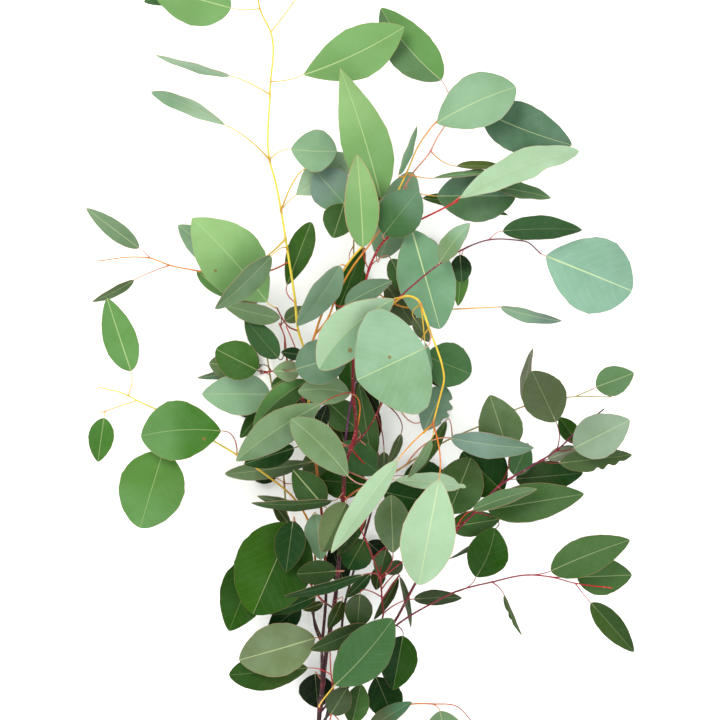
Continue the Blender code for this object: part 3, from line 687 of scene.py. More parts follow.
@dataclass
class Petiole:
    """A leaf stalk: a curve from the twig that runs into the blade's midrib.

    RADII are its radii at the shares MARKS of its length, and a long stalk is stouter by STOUTER,
    over the reaches LONG. Its colour goes from the twig's through the bark's to a pale midrib.
    """

    blade: Blade
    start: np.ndarray
    start_tone: np.ndarray
    bark: Bark

    MARKS = (0, 0.12, 0.6, 0.78, 1)
    RADII = (0.65 * MM, 0.52 * MM, 0.40 * MM, 0.42 * MM, 0.18 * MM)
    LONG, STOUTER = (25 * MM, 60 * MM), (1.0, 1.5)
    FLAT_LEAF_RADIUS = 0.45 * MM
    SIDES = 8
    ROWS = 14
    INTO, INTO_SHARE = 7.0 * MM, 0.3
    BEND = 0.45
    TONE_MARKS = (0.0, 0.15, 0.62, 0.85, 1.0)
    RIB_HEX, RIB_SHARE = "#d8e0a0", 0.4

    def skin(self) -> Skin:
        """The stalk's closed skin: a quadratic curve, then the first stretch of the midrib."""
        leaf = self.blade.leaf
        base, length, along, _, face = self.blade.axes()
        drop = face * (CAD_BLADE - BLADE) / 2
        end = base - drop
        far = float(np.linalg.norm(end - self.start))
        control = end - along * self.BEND * far
        control[2] = max(control[2], end[2])
        t = np.linspace(0, 1, self.ROWS)[:, None]
        arc = (1 - t) ** 2 * self.start + 2 * t * (1 - t) * control + t**2 * end
        reach = np.linspace(0.25, 1.0, 4) * min(self.INTO, self.INTO_SHARE * length) / length
        inner, _ = self.blade.surface(reach, np.zeros(1))
        line = np.vstack((arc, inner[:, 0] - drop))
        share = np.linspace(0, 1, len(line))
        radius = np.interp(share, self.MARKS, self.RADII) * np.interp(far, self.LONG, self.STOUTER)
        if leaf.rests:
            radius = np.minimum(radius, self.FLAT_LEAF_RADIUS)
        stalk = BarkedTwig.under(self.bark)
        green = linear(leaf.tone.value[0])
        rib = (green * (1 - self.RIB_SHARE) + linear(self.RIB_HEX) * self.RIB_SHARE) * Blade.LIGHT
        shades = np.array([self.start_tone, stalk, stalk, rib, rib])
        tone = np.stack([np.interp(share, self.TONE_MARKS, column) for column in shades.T], 1)
        return rod(line, radius, tone, self.SIDES)


def add_node(tree: Tree, kind: str, inputs: dict | None = None,
             **settings: object) -> bpy.types.NodeOutputs:
    """Add a node, set its options, and fill its sockets with values or with other nodes' outputs.

    Args:
        tree: the material's node tree.
        kind: the node's type name.
        inputs: socket name or number to a value or an output socket.
        settings: options of the node.

    Returns:
        The node's outputs.
    """
    made = tree.nodes.new(kind)
    for key, value in settings.items():
        setattr(made, key, value)
    for key, value in (inputs or {}).items():
        if isinstance(value, Socket):
            tree.links.new(value, made.inputs[key])
        else:
            made.inputs[key].default_value = value
    return made.outputs


def start_finish(name: str, roughness: float, ior: float,
                 gloss: float) -> tuple[bpy.types.Material, Tree]:
    """A new material with its shader's plain values.

    Args:
        name: common name and how it was made.
        roughness: of the surface.
        ior: index of refraction.
        gloss: specular level.

    Returns:
        The material and its node tree.
    """
    made = bpy.data.materials.new(name)
    made.use_nodes = True
    shader = made.node_tree.nodes["Principled BSDF"]
    for key, value in (("Roughness", roughness), ("IOR", ior), ("Specular IOR Level", gloss)):
        shader.inputs[key].default_value = value
    return made, made.node_tree


def end_finish(tree: Tree, colour: Socket, height: Socket, strength: float, depth: float) -> None:
    """Lead the colour and the relief to the shader.

    Args:
        tree: the material's node tree.
        colour: the finished colour.
        height: the relief, in steps of the depth.
        strength: share of the relief that shows.
        depth: metres for a height of one.
    """
    inputs = tree.nodes["Principled BSDF"].inputs
    bump = add_node(tree, "ShaderNodeBump", {"Height": height, "Strength": strength, "Distance": depth})
    tree.links.new(colour, inputs["Base Color"])
    tree.links.new(bump[0], inputs["Normal"])


# Node kinds and options that the finishes share
ATTRIBUTE = "ShaderNodeAttribute"
MATH = "ShaderNodeMath"
VECTOR = "ShaderNodeVectorMath"
RANGE = "ShaderNodeMapRange"
MIX = "ShaderNodeMix"
NOISE = "ShaderNodeTexNoise"
CELLS = "ShaderNodeTexVoronoi"
SMOOTH = {"interpolation_type": "SMOOTHSTEP"}
BLEND = {"data_type": "RGBA"}
TINT = {"data_type": "RGBA", "blend_type": "MULTIPLY"}

# Colours in the finishes: wax bloom, midrib, leaf pore, margin, blemish and the bark's pores
WAX = (*linear("#9fb0a4"), 1.0)
RIB = (*linear("#bcc890"), 1.0)
PORE = (*linear("#2c4424"), 1.0)
MARGIN = (*linear("#b0705c"), 1.0)
BLEMISH = (*linear("#6a5428"), 1.0)
LENTICEL = (*linear("#d8c0a8"), 1.0)


@dataclass
class LeafSockets:
    """What the parts of a leaf's finish read: its mesh's values and two patterns of the wax.

    Along, across, away and edge are mm from the base, from the midrib, from the midrib without
    sign and from the margin. Spot holds the blemish's place and radius.
    """

    tree: Tree
    tone: Socket
    along: Socket
    across: Socket
    away: Socket
    edge: Socket
    red: Socket
    veins: Socket
    rib: Socket
    spot: bpy.types.NodeOutputs
    room: Socket
    cloud: Socket
    grain: Socket


@dataclass(frozen=True)
class LeafFinish:
    """Leathery eucalyptus leaf, grown smooth under a film of wax.

    The wax scatters light, so the leaf looks matt and greyed, most on young sage leaves. The
    margin is a thin reddish line, the midrib is pale, and fine side veins run at a steep angle to
    a vein just inside the margin. Sizes are in mm.
    """

    family: Family
    bloom: float
    roughness: float
    gloss: float
    vein_spacing: float = 4.6
    vein_edge: tuple[float, float] = (0.10, 0.70)
    inner_vein: float = 1.9
    net_size: float = 1.5
    cloud_size: float = 24.0
    grain_size: float = 1.1
    rib_at_base: float = 0.60
    rib_far_out: float = 0.20
    rib_length: float = 90.0
    margin_edge: tuple[float, float] = (0.12, 0.60)

    def material(self) -> bpy.types.Material:
        """The finish as a material, read from the mesh's own attributes."""
        made, tree = start_finish("waxy_leaf_" + self.family.value, self.roughness, 1.45, self.gloss)
        leaf = self.sockets(tree)
        veins = self.side_veins(leaf)
        midrib = self.midrib(leaf)
        colour = self.blemished(leaf, self.coloured(leaf, veins, midrib))
        # Relief: the midrib sunk, the side veins and the clouds a little raised
        height = add_node(tree, MATH, {0: veins, 1: 1.2}, operation="MULTIPLY")[0]
        height = add_node(tree, MATH, {0: midrib, 1: -1.0, 2: height}, operation="MULTIPLY_ADD")[0]
        height = add_node(tree, MATH, {0: leaf.cloud, 1: 1.6, 2: height}, operation="MULTIPLY_ADD")[0]
        end_finish(tree, colour, height, 0.35, 0.25 * MM)
        return made

    def sockets(self, tree: Tree) -> LeafSockets:
        """The mesh's values, the clouds of thicker and thinner wax and the grain of pores.

        Args:
            tree: the material's node tree.

        Returns:
            The sockets that the rest of the finish reads.
        """
        tone = add_node(tree, ATTRIBUTE, attribute_name="tone")["Color"]
        place, nature, spot = (
            add_node(tree, "ShaderNodeSeparateXYZ",
                     {0: add_node(tree, ATTRIBUTE, attribute_name=key)["Vector"]})
            for key in ("place", "nature", "blemish"))
        along, across, edge = place
        away = add_node(tree, MATH, {0: across}, operation="ABSOLUTE")[0]
        room = add_node(tree, "ShaderNodeTexCoord")["Object"]
        cloud = add_node(tree, NOISE, {"Vector": room, "Scale": 1000 / self.cloud_size, "Detail": 3.0,
                                       "Roughness": 0.55})[0]
        grain = add_node(tree, NOISE, {"Vector": room, "Scale": 1000 / self.grain_size, "Detail": 2.0,
                                       "Roughness": 0.6})[0]
        return LeafSockets(tree, tone, along, across, away, edge, *nature, spot, room, cloud, grain)

    def side_veins(self, leaf: LeafSockets) -> Socket:
        """Strength of the side veins and of the vein just inside the margin.

        The way along less a climb that steepens outwards, wavered by the clouds, is cut into even
        steps. The climb is 0.7 of the way out plus 0.012 of its square, in mm.

        Args:
            leaf: the leaf's sockets.

        Returns:
            A socket from 0 to 0.4.
        """
        tree = leaf.tree
        climb = add_node(tree, MATH, {0: leaf.away, 1: 0.012, 2: 0.7}, operation="MULTIPLY_ADD")[0]
        climb = add_node(tree, MATH, {0: climb, 1: leaf.away}, operation="MULTIPLY")[0]
        run = add_node(tree, MATH, {0: leaf.along, 1: climb}, operation="SUBTRACT")[0]
        run = add_node(tree, MATH, {0: leaf.cloud, 1: 11.0, 2: run}, operation="MULTIPLY_ADD")[0]
        step = add_node(tree, MATH, {0: run, 1: self.vein_spacing}, operation="PINGPONG")[0]
        near, far = self.vein_edge
        vein = add_node(tree, RANGE, {0: step, 1: near, 2: far, 3: 1.0, 4: 0.0}, **SMOOTH)[0]
        inside = add_node(tree, RANGE, {0: leaf.edge, 1: 1.2, 2: 2.4}, **SMOOTH)[0]
        vein = add_node(tree, MATH, {0: vein, 1: inside}, operation="MULTIPLY")[0]
        band = add_node(tree, MATH, {0: leaf.edge, 1: self.inner_vein, 2: 0.12}, operation="COMPARE")[0]
        band = add_node(tree, MATH, {0: band, 1: 0.6}, operation="MULTIPLY")[0]
        drawn = add_node(tree, MATH, {0: vein, 1: band}, operation="MAXIMUM")[0]
        drawn = add_node(tree, MATH, {0: drawn, 1: leaf.veins}, operation="MULTIPLY")[0]
        return add_node(tree, MATH, {0: drawn, 1: 0.40}, operation="MULTIPLY")[0]

    def midrib(self, leaf: LeafSockets) -> Socket:
        """Where the midrib runs: widest at the base, narrowing outwards, thinner where it is faint.

        Args:
            leaf: the leaf's sockets.

        Returns:
            A socket from 0 beside the midrib to 1 on it.
        """
        tree = leaf.tree
        width = add_node(tree, RANGE, {0: leaf.along, 1: 0.0, 2: self.rib_length, 3: self.rib_at_base,
                                       4: self.rib_far_out})[0]
        stout = add_node(tree, MATH, {0: leaf.rib, 1: 0.65}, operation="ADD")[0]
        width = add_node(tree, MATH, {0: width, 1: stout}, operation="MULTIPLY")[0]
        share = add_node(tree, MATH, {0: leaf.away, 1: width}, operation="DIVIDE")[0]
        return add_node(tree, RANGE, {0: share, 1: 0.45, 2: 1.15, 3: 1.0, 4: 0.0}, **SMOOTH)[0]

    def coloured(self, leaf: LeafSockets, veins: Socket, midrib: Socket) -> Socket:
        """Colours from below: the leaf, its wax, the net, side veins, midrib, pores and red margin.

        Args:
            leaf: the leaf's sockets.
            veins: strength of the side veins.
            midrib: where the midrib runs.

        Returns:
            The colour.
        """
        tree = leaf.tree
        light = add_node(tree, RANGE, {0: leaf.cloud, 1: 0.25, 2: 0.75, 3: 0.94, 4: 1.05})[0]
        blue = add_node(tree, RANGE, {0: leaf.cloud, 1: 0.25, 2: 0.75, 3: 0.91, 4: 1.09})[0]
        shade = add_node(tree, "ShaderNodeCombineColor", {0: light, 1: light, 2: blue})[0]
        shade = add_node(tree, MIX, {0: 1.0, 6: leaf.tone, 7: shade}, **TINT)[2]
        bloom = add_node(tree, RANGE, {0: leaf.cloud, 1: 0.35, 2: 0.75, 3: 0.0, 4: self.bloom})[0]
        waxed = add_node(tree, MIX, {0: bloom, 6: shade, 7: WAX}, **BLEND)[2]
        pale = add_node(tree, MIX, {0: 0.4, 6: leaf.tone, 7: RIB}, **BLEND)[2]
        gap = add_node(tree, CELLS, {"Vector": leaf.room, "Scale": 1000 / self.net_size},
                       feature="DISTANCE_TO_EDGE")["Distance"]
        net = add_node(tree, RANGE, {0: gap, 1: 0.0, 2: 0.12, 3: 0.04, 4: 0.0}, **SMOOTH)[0]
        netted = add_node(tree, MIX, {0: net, 6: waxed, 7: pale}, **BLEND)[2]
        veined = add_node(tree, MIX, {0: veins, 6: netted, 7: pale}, **BLEND)[2]
        shown = add_node(tree, MATH, {0: midrib, 1: leaf.rib}, operation="MULTIPLY")[0]
        shown = add_node(tree, MATH, {0: shown, 1: 0.75}, operation="MULTIPLY")[0]
        ribbed = add_node(tree, MIX, {0: shown, 6: veined, 7: RIB}, **BLEND)[2]
        pore = add_node(tree, RANGE, {0: leaf.grain, 1: 0.62, 2: 0.75, 3: 0.0, 4: 0.14})[0]
        pored = add_node(tree, MIX, {0: pore, 6: ribbed, 7: PORE}, **BLEND)[2]
        near, far = self.margin_edge
        rim = add_node(tree, RANGE, {0: leaf.edge, 1: near, 2: far, 3: 1.0, 4: 0.0}, **SMOOTH)[0]
        rim = add_node(tree, MATH, {0: rim, 1: leaf.red}, operation="MULTIPLY")[0]
        return add_node(tree, MIX, {0: rim, 6: pored, 7: MARGIN}, **BLEND)[2]

    def blemished(self, leaf: LeafSockets, colour: Socket) -> Socket:
        """One brown blemish where the leaf has one: the distance from its middle less its radius.

        Args:
            leaf: the leaf's sockets.
            colour: the colour below.

        Returns:
            The colour with the blemish on it.
        """
        tree = leaf.tree
        here = add_node(tree, "ShaderNodeCombineXYZ", {0: leaf.along, 1: leaf.across})[0]
        middle = add_node(tree, "ShaderNodeCombineXYZ", {0: leaf.spot[0], 1: leaf.spot[1]})[0]
        apart = add_node(tree, VECTOR, {0: here, 1: middle}, operation="DISTANCE")["Value"]
        ragged = add_node(tree, MATH, {0: leaf.grain, 1: -1.2, 2: apart}, operation="MULTIPLY_ADD")[0]
        past = add_node(tree, MATH, {0: ragged, 1: leaf.spot[2]}, operation="SUBTRACT")[0]
        hurt = add_node(tree, RANGE, {0: past, 1: -0.95, 2: -0.35, 3: 0.8, 4: 0.0})[0]
        marked = add_node(tree, MATH, {0: leaf.spot[2], 1: 0.1}, operation="GREATER_THAN")[0]
        hurt = add_node(tree, MATH, {0: hurt, 1: marked}, operation="MULTIPLY")[0]
        return add_node(tree, MIX, {0: hurt, 6: colour, 7: BLEMISH}, **BLEND)[2]


@dataclass(frozen=True)
class BarkFinish:
    """Young eucalyptus bark: thin, smooth and tight, with a light gloss where the wax has rubbed off.

    Fine streaks 0.5 mm wide and 6 mm long run along it, and pale breathing pores of under a
    millimetre dot it.
    """

    slot: BarkSlot
    roughness: float = 0.42
    gloss: float = 0.3
    squeeze: tuple[float, float, float] = (0.16, 2.0, 2.0)
    pores_per_mm: float = 0.42

    def material(self) -> bpy.types.Material:
        """The finish as a material, read from the mesh's own attributes."""
        made, tree = start_finish("young_" + self.slot.value, self.roughness, 1.48, self.gloss)
        tone = add_node(tree, ATTRIBUTE, attribute_name="tone")["Color"]
        place = add_node(tree, ATTRIBUTE, attribute_name="place")["Vector"]
        # The way along is squeezed before the noise, so its spots become streaks
        squeezed = add_node(tree, VECTOR, {0: place, 1: self.squeeze}, operation="MULTIPLY")[0]
        streak = add_node(tree, NOISE, {"Vector": squeezed, "Scale": 1.0, "Detail": 4.0,
                                        "Roughness": 0.6})[0]
        light = add_node(tree, RANGE, {0: streak, 1: 0.25, 2: 0.75, 3: 0.68, 4: 1.30})[0]
        grey = add_node(tree, "ShaderNodeCombineColor", {0: light, 1: light, 2: light})[0]
        streaked = add_node(tree, MIX, {0: 1.0, 6: tone, 7: grey}, **TINT)[2]
        pore = add_node(tree, CELLS, {"Vector": place, "Scale": self.pores_per_mm})["Distance"]
        dot = add_node(tree, RANGE, {0: pore, 1: 0.10, 2: 0.20, 3: 0.55, 4: 0.0})[0]
        dotted = add_node(tree, MIX, {0: dot, 6: streaked, 7: LENTICEL}, **BLEND)[2]
        end_finish(tree, dotted, streak, 0.4, 0.2 * MM)
        return made


@dataclass
class LeafyShoot:
    """A leafy shoot: one twig or stem with its side twigs, stalks and blades.

    It forks from its parent shoot at the pixel fork, and its stalks have the bark stalk where a
    leaf names no other.
    """

    name: str
    parent: str
    fork: tuple[float, ...]
    slot: BarkSlot
    stalk: Bark
    twigs: tuple[Twig, ...]
    leaves: tuple[Leaf, ...]
    barked: list[BarkedTwig] = field(default_factory=list)

    def grow(self, shoots: dict[str, "LeafyShoot"]) -> None:
        """Lay out the twigs, each from the axis of the one that it grows from.

        Args:
            shoots: the shoots by name, the parent already grown.
        """
        nodes = [leaf.root for leaf in self.leaves]
        for number, twig in enumerate(self.twigs):
            start = None
            if number:
                start = self.barked[0].nearest(twig.route[0][:2])[1]
                twig = replace(twig, route=twig.route[1:])
            elif self.parent:
                found = (other.nearest(self.fork) for other in shoots[self.parent].barked)
                start = min(found, key=lambda item: item[0])[1]
            self.barked.append(BarkedTwig(twig, start, nodes))

    def blades(self) -> list[tuple[Family, Skin, Skin]]:
        """Family, stalk and blade of each leaf."""
        made = []
        for leaf in self.leaves:
            blade = Blade(leaf)
            found = min((twig.nearest(leaf.root) for twig in self.barked), key=lambda item: item[0])
            stalk = Petiole(blade, found[1], found[2], leaf.stalk or self.stalk)
            made.append((leaf.tone.value[1], stalk.skin(), blade.skin()))
        return made

    def build(self, finishes: dict[str, bpy.types.Material]) -> list[bpy.types.Object]:
        """Build the shoot's pieces and dress them.

        Args:
            finishes: materials by the record's slot name.

        Returns:
            The wood, then the blades of each family.
        """
        leaves = self.blades()
        wood = Skin.joined([twig.skin() for twig in self.barked] + [stalk for _, stalk, _ in leaves])
        made = [(self.name + "_wood", self.slot.value, wood)]
        for family in Family:
            skins = [blade for kind, _, blade in leaves if kind is family]
            if skins:
                made.append((f"{self.name}_{family.value}", family.value, Skin.joined(skins)))
        pieces = []
        for name, slot, skin in made:
            piece = skin.as_object(name, finishes[slot])
            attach(piece, "root")
            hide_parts(self.name)
            pieces.append(piece)
        return pieces


def resting(name: str, root: Spot2, base: Spot2, tip: Spot2, wide: float, tone: Tone) -> Leaf:
    """A flat leaf that the branch rests on, at the height REST.

    Args:
        name: the leaf's name.
        root: where its stalk leaves the twig, across and down.
        base: its base, across and down.
        tip: its tip, across and down.
        wide: its width in pixels.
        tone: its colour.

    Returns:
        The leaf, without arch or cup.
    """
    return Leaf(name, root, (*base, REST), (*tip, REST), wide, tone, arch=0.0, cup=0.0)


MAIN_STEM = LeafyShoot(
    "main_stem", "", (), BarkSlot.RED, Bark.BLUSH,
    (
        Twig(5.0, 1.5, ((321, 800, 2.5), (320, 760, 9), (319, 720, 19), (322, 690, 27), (326, 655, 34),
              (331, 625, 41), (335, 600, 46), (339, 560, 54), (343, 500, 62), (346, 464, 66),
              (356, 431, 70), (353, 392, 74), (353, 370, 77), (357, 335, 82), (363, 300, 86),
              (369, 269, 89), (386, 239, 92), (412, 224, 94), (440, 210, 96), (458, 201, 98)),
             (Bark.INKY, Bark.PLUM, Bark.PLUM, Bark.WINE, Bark.CRIMSON, Bark.RED)),
        Twig(1.7, 1.2, ((366, 283, 87), (400, 306, 79), (430, 309, 79), (479, 308, 86), (499, 307, 88)),
             (Bark.ORANGE, Bark.GOLD)),
        Twig(2.2, 1.9, ((346, 464, 66), (345, 449, 50), (347, 428, 54), (353, 393, 58), (358, 374, 60),
              (363, 350, 62)), (Bark.PLUM, Bark.VIOLET, Bark.VIOLET, Bark.VIOLET)),
    ),
    (
        Leaf("b2b", (456, 202), (460, 198, 100), (579, 151, 112), 31, Tone.PALE, 20, sway=-0.04,
             wave=0.16, form=Outline.FULL, rib=0.3, bites=(Bite(1, 0.72, 0.09, 0.34),), stalk=Bark.RED),
        Leaf("b3", (450, 205), (497, 187, 90), (551, 198, 88), 16, Tone.FERN, 30, wave=0.12),
        Leaf("a12", (369, 269), (363, 247, 112), (357, 155, 124), 34, Tone.LIME, -15, far=Tone.SPRING,
             red=0.8, rib=0.6, stalk=Bark.RED),
        Leaf("c1", (386, 239), (384, 234, 103), (418, 191, 112), 44, Tone.SEA, form=Outline.ROUND,
             far=Tone.MIST),
        Leaf("c2", (378, 252), (380, 258, 70), (412, 172, 63), 42, Tone.GLAUCOUS, form=Outline.ROUND),
        Leaf("c4", (369, 267), (391, 259, 84), (410, 297, 84), 22, Tone.CLOVER),
        Leaf("g1", (363, 296), (385, 283, 72), (413, 325, 66), 28, Tone.STONE, form=Outline.FULL),
        Leaf("e7", (362, 305), (337, 312, 62), (364, 247, 56), 21, Tone.FOREST, form=Outline.EVEN),
        Leaf("b14", (412, 224), (412, 230, 97), (440, 329, 90), 57, Tone.JADE, form=Outline.EVEN,
             rib=0.9),
        Leaf("b9", (498, 307), (501, 307, 89), (562, 321, 91), 12, Tone.FROST, -60, far=Tone.BLUE,
             rib=0.6),
        Leaf("v10", (343, 495), (346, 503, 72), (322, 552, 82), 34, Tone.OLIVE, 15,
             right=Tone.GREY_SAGE, red=0.7),
        Leaf("v1", (344, 490), (332, 501, 66), (251, 503, 62), 12, Tone.CLOVER, 62),
        Leaf("v12", (338, 572), (336, 571, 80), (297, 574, 84), 25, Tone.LAUREL, form=Outline.ROUND),
        Leaf("y6", (335, 602), (342, 601, 62), (328, 629, 60), 14, Tone.DUSK, 30, far=Tone.LAUREL),
        Leaf("l1", (353, 392), (321, 404, 96), (236, 461, 98), 36, Tone.SAGE, 12, sway=0.04,
             form=Outline.SLIM, right=Tone.CELERY, stalk=Bark.RUST),
        Leaf("o3", (356, 431), (350, 394, 75), (298, 391, 87), 30, Tone.CELERY, 10, sway=0.07,
             form=Outline.EVEN, stalk=Bark.ORANGE),
        Leaf("o4", (355, 440), (357, 429, 50), (328, 402, 48), 32, Tone.CLOVER, form=Outline.EVEN),
        Leaf("o5", (351, 448), (372, 462, 44), (359, 384, 52), 24, Tone.CLOVER, stalk=Bark.RED),
        Leaf("o6", (355, 436), (376, 441, 38), (364, 387, 38), 20, Tone.INK, form=Outline.LONG),
        Leaf("o7", (353, 402), (352, 392, 47), (350, 350, 47), 26, Tone.FOREST),
        Leaf("o8", (354, 436), (345, 444, 42), (331, 402, 40), 20, Tone.DUSK),
        Leaf("o9", (351, 446), (318, 430, 50), (327, 404, 50), 15, Tone.INK),
        Leaf("q2", (351, 448), (341, 443, 56), (379, 473, 52), 33, Tone.SEA, form=Outline.EVEN),
        Leaf("q4", (345, 470), (368, 484, 46), (318, 480, 42), 34, Tone.FOREST, form=Outline.EVEN),
        Leaf("l6", (343, 500), (324, 506, 56), (293, 470, 56), 32, Tone.CLOVER, rib=0.9),
        Leaf("w8", (338, 585), (344, 582, 36), (331, 546, 32), 24, Tone.INK),
        Leaf("w7", (323, 684), (315, 674, 18), (318, 708, 10), 36, Tone.INK),
        Leaf("w1", (319, 706), (335, 685, 74), (393, 619, 86), 48, Tone.SEA, 8, sway=0.03,
             form=Outline.EVEN, rib=0.7, stalk=Bark.GOLD),
    ),
)

TALL = LeafyShoot(
    "tall_yellow_shoot", "main_stem", (322, 690), BarkSlot.YELLOW, Bark.GOLD,
    (
        Twig(3.2, 1.7, ((322, 650, 40), (326, 594, 40), (324, 540, 42), (318, 480, 46), (312, 430, 50),
              (307, 385, 54), (305, 353, 58), (298, 329, 62), (295, 300, 64), (287, 248, 67),
              (281, 210, 68), (275, 180, 69), (270, 162, 69), (270, 92, 70), (271, 33, 70),
              (260, 9, 70), (257, -12, 70)),
             (Bark.PLUM, Bark.PLUM, Bark.RUST, Bark.GOLD, Bark.YELLOW, Bark.YELLOW, Bark.YELLOW,
              Bark.GOLD)),
        Twig(1.8, 1.4, ((298, 332, 62), (289, 327, 64), (281, 316, 68), (277, 308, 71)),
             (Bark.RUST, Bark.WINE)),
        Twig(1.5, 1.2, ((271, 33, 70), (282, 18, 73), (293, 3, 76)), (Bark.GOLD, Bark.GOLD)),
    ),
    (
        Leaf("a1", (260, 9), (231, 8, 72), (150, -14, 80), 54, Tone.LIME, 5, red=0.1, rib=0.6),
        Leaf("a2", (258, -6), (196, -16, 58), (144, 2, 56), 26, Tone.SEA),
        Leaf("a3", (270, 94), (230, 76, 78), (155, 55, 84), 6, Tone.PALE, 76, arch=0.0),
        Leaf("a4", (270, 160), (225, 125, 76), (151, 92, 80), 14, Tone.PALE, 62, arch=-0.05,
             form=Outline.FULL, far=Tone.GLAUCOUS),
        Leaf("a5", (292, 4), (297, -2, 78), (316, -28, 80), 24, Tone.MOSS),
        Leaf("a6", (271, 82), (303, 75, 82), (404, 27, 100), 51, Tone.LIME, -8, sway=0.03,
             form=Outline.DROP, rib=0.7),
        Leaf("a7", (270, 160), (291, 149, 76), (337, 151, 80), 43, Tone.GLAUCOUS, 6, sway=0.03,
             form=Outline.FULL),
        Leaf("a13", (281, 210), (296, 195, 62), (351, 155, 56), 40, Tone.PALE, form=Outline.DROP),
        Leaf("a14", (281, 210), (316, 172, 68), (352, 212, 72), 42, Tone.BLUE, far=Tone.JADE),
        Leaf("a17", (295, 302), (287, 285, 57), (311, 222, 50), 26, Tone.PALM, form=Outline.FULL,
             stalk=Bark.RED),
        Leaf("e1", (277, 309), (267, 302, 76), (192, 218, 84), 64, Tone.LIME, sway=0.025,
             form=Outline.SLIM, far=Tone.SPRING, rib=0.5, spot=Spot(0.515, -0.63, 1.5)),
        Leaf("e1b", (285, 238), (225, 262, 62), (178, 225, 60), 30, Tone.GLAUCOUS),
        Leaf("e2", (287, 248), (271, 256, 98), (215, 309, 100), 22, Tone.SAGE, 50),
        Leaf("l4", (316, 462), (311, 462, 43), (225, 474, 38), 19, Tone.WILLOW, 25, form=Outline.FULL),
    ),
)

UPPER = LeafyShoot(
    "upper_shoot", "tall_yellow_shoot", (305, 353), BarkSlot.YELLOW, Bark.AMBER,
    (
        Twig(2.6, 1.4, ((312, 342, 68), (320, 319, 78), (336, 283, 88), (352, 258, 93), (365, 243, 95),
              (380, 220, 97), (399, 189, 99), (407, 172, 101), (419, 145, 104), (430, 129, 106),
              (437, 121, 107)), (Bark.ORANGE, Bark.GOLD, Bark.YELLOW, Bark.ORANGE)),
        Twig(2.2, 1.4, ((314, 335, 72), (328, 318, 76), (335, 300, 79), (352, 268, 84), (370, 244, 86),
              (392, 212, 88), (413, 173, 92), (430, 152, 96), (437, 138, 97), (444, 127, 97),
              (452, 108, 97)), (Bark.AMBER, Bark.AMBER, Bark.BLUSH, Bark.BLUSH)),
    ),
    (
        Leaf("a8", (396, 193), (381, 198, 99), (340, 68, 104), 49, Tone.LIME, sway=0.015,
             form=Outline.LONG, far=Tone.SPRING, rib=0.6, stalk=Bark.ORANGE),
        Leaf("a9", (452, 108), (441, 80, 92), (381, 8, 74), 46, Tone.FERN, sway=-0.05, right=Tone.FRESH,
             rib=0.5, stalk=Bark.PINK),
        Leaf("a10", (437, 121), (437, 123, 109), (516, 87, 116), 54, Tone.GLAUCOUS, 6, sway=-0.03,
             form=Outline.FULL, rib=0.5),
        Leaf("a11", (405, 177), (399, 175, 103), (417, 126, 108), 7, Tone.JADE, -72, arch=0.0),
        Leaf("a16", (388, 218), (344, 204, 84), (333, 238, 78), 33, Tone.CLOVER),
        Leaf("a18", (347, 266), (340, 266, 96), (297, 326, 86), 26, Tone.FROST, 45),
        Leaf("b1", (450, 114), (482, 111, 92), (572, 145, 100), 50, Tone.TEAL, sway=0.03, rib=0.5),
        Leaf("b2a", (407, 175), (434, 178, 98), (512, 174, 92), 6, Tone.FERN, 60),
        Leaf("b4", (405, 188), (437, 196, 84), (516, 196, 80), 53, Tone.TEAL, form=Outline.EVEN,
             right=Tone.SEA),
        Leaf("b5", (400, 198), (423, 198, 74), (508, 215, 70), 15, Tone.FOREST, 50),
        Leaf("b6", (430, 152), (457, 166, 90), (508, 168, 86), 9, Tone.MOSS, 50),
        Leaf("e6", (334, 303), (345, 305, 92), (392, 281, 98), 22, Tone.MIST, 40, stalk=Bark.RED),
    ),
)

PURPLE = LeafyShoot(
    "purple_twig", "main_stem", (363, 300), BarkSlot.RED, Bark.PINK,
    (
        Twig(2.0, 1.3, ((374, 303, 96), (393, 301, 103), (412, 286, 107), (430, 271, 109),
              (450, 257, 110), (470, 246, 110), (488, 240, 109), (515, 240, 108), (527, 242, 108),
              (541, 254, 108)), (Bark.CRIMSON, Bark.PURPLE, Bark.PURPLE)),
    ),
    (
        Leaf("b7", (488, 240), (503, 231, 110), (582, 230, 116), 25, Tone.KELP, 38),
        Leaf("b8", (540, 253), (546, 256, 108), (632, 291, 104), 76, Tone.OPAL, form=Outline.FULL,
             rib=0.9, veins=0.45),
        Leaf("c3", (438, 265), (440, 262, 114), (470, 223, 120), 20, Tone.CELERY, 45, far=Tone.FROST),
        Leaf("c5", (462, 250), (460, 255, 98), (462, 282, 90), 21, Tone.NIGHT, form=Outline.ROUND,
             far=Tone.KELP),
        Leaf("c5b", (466, 248), (461, 262, 86), (458, 306, 80), 16, Tone.APPLE, 20),
    ),
)

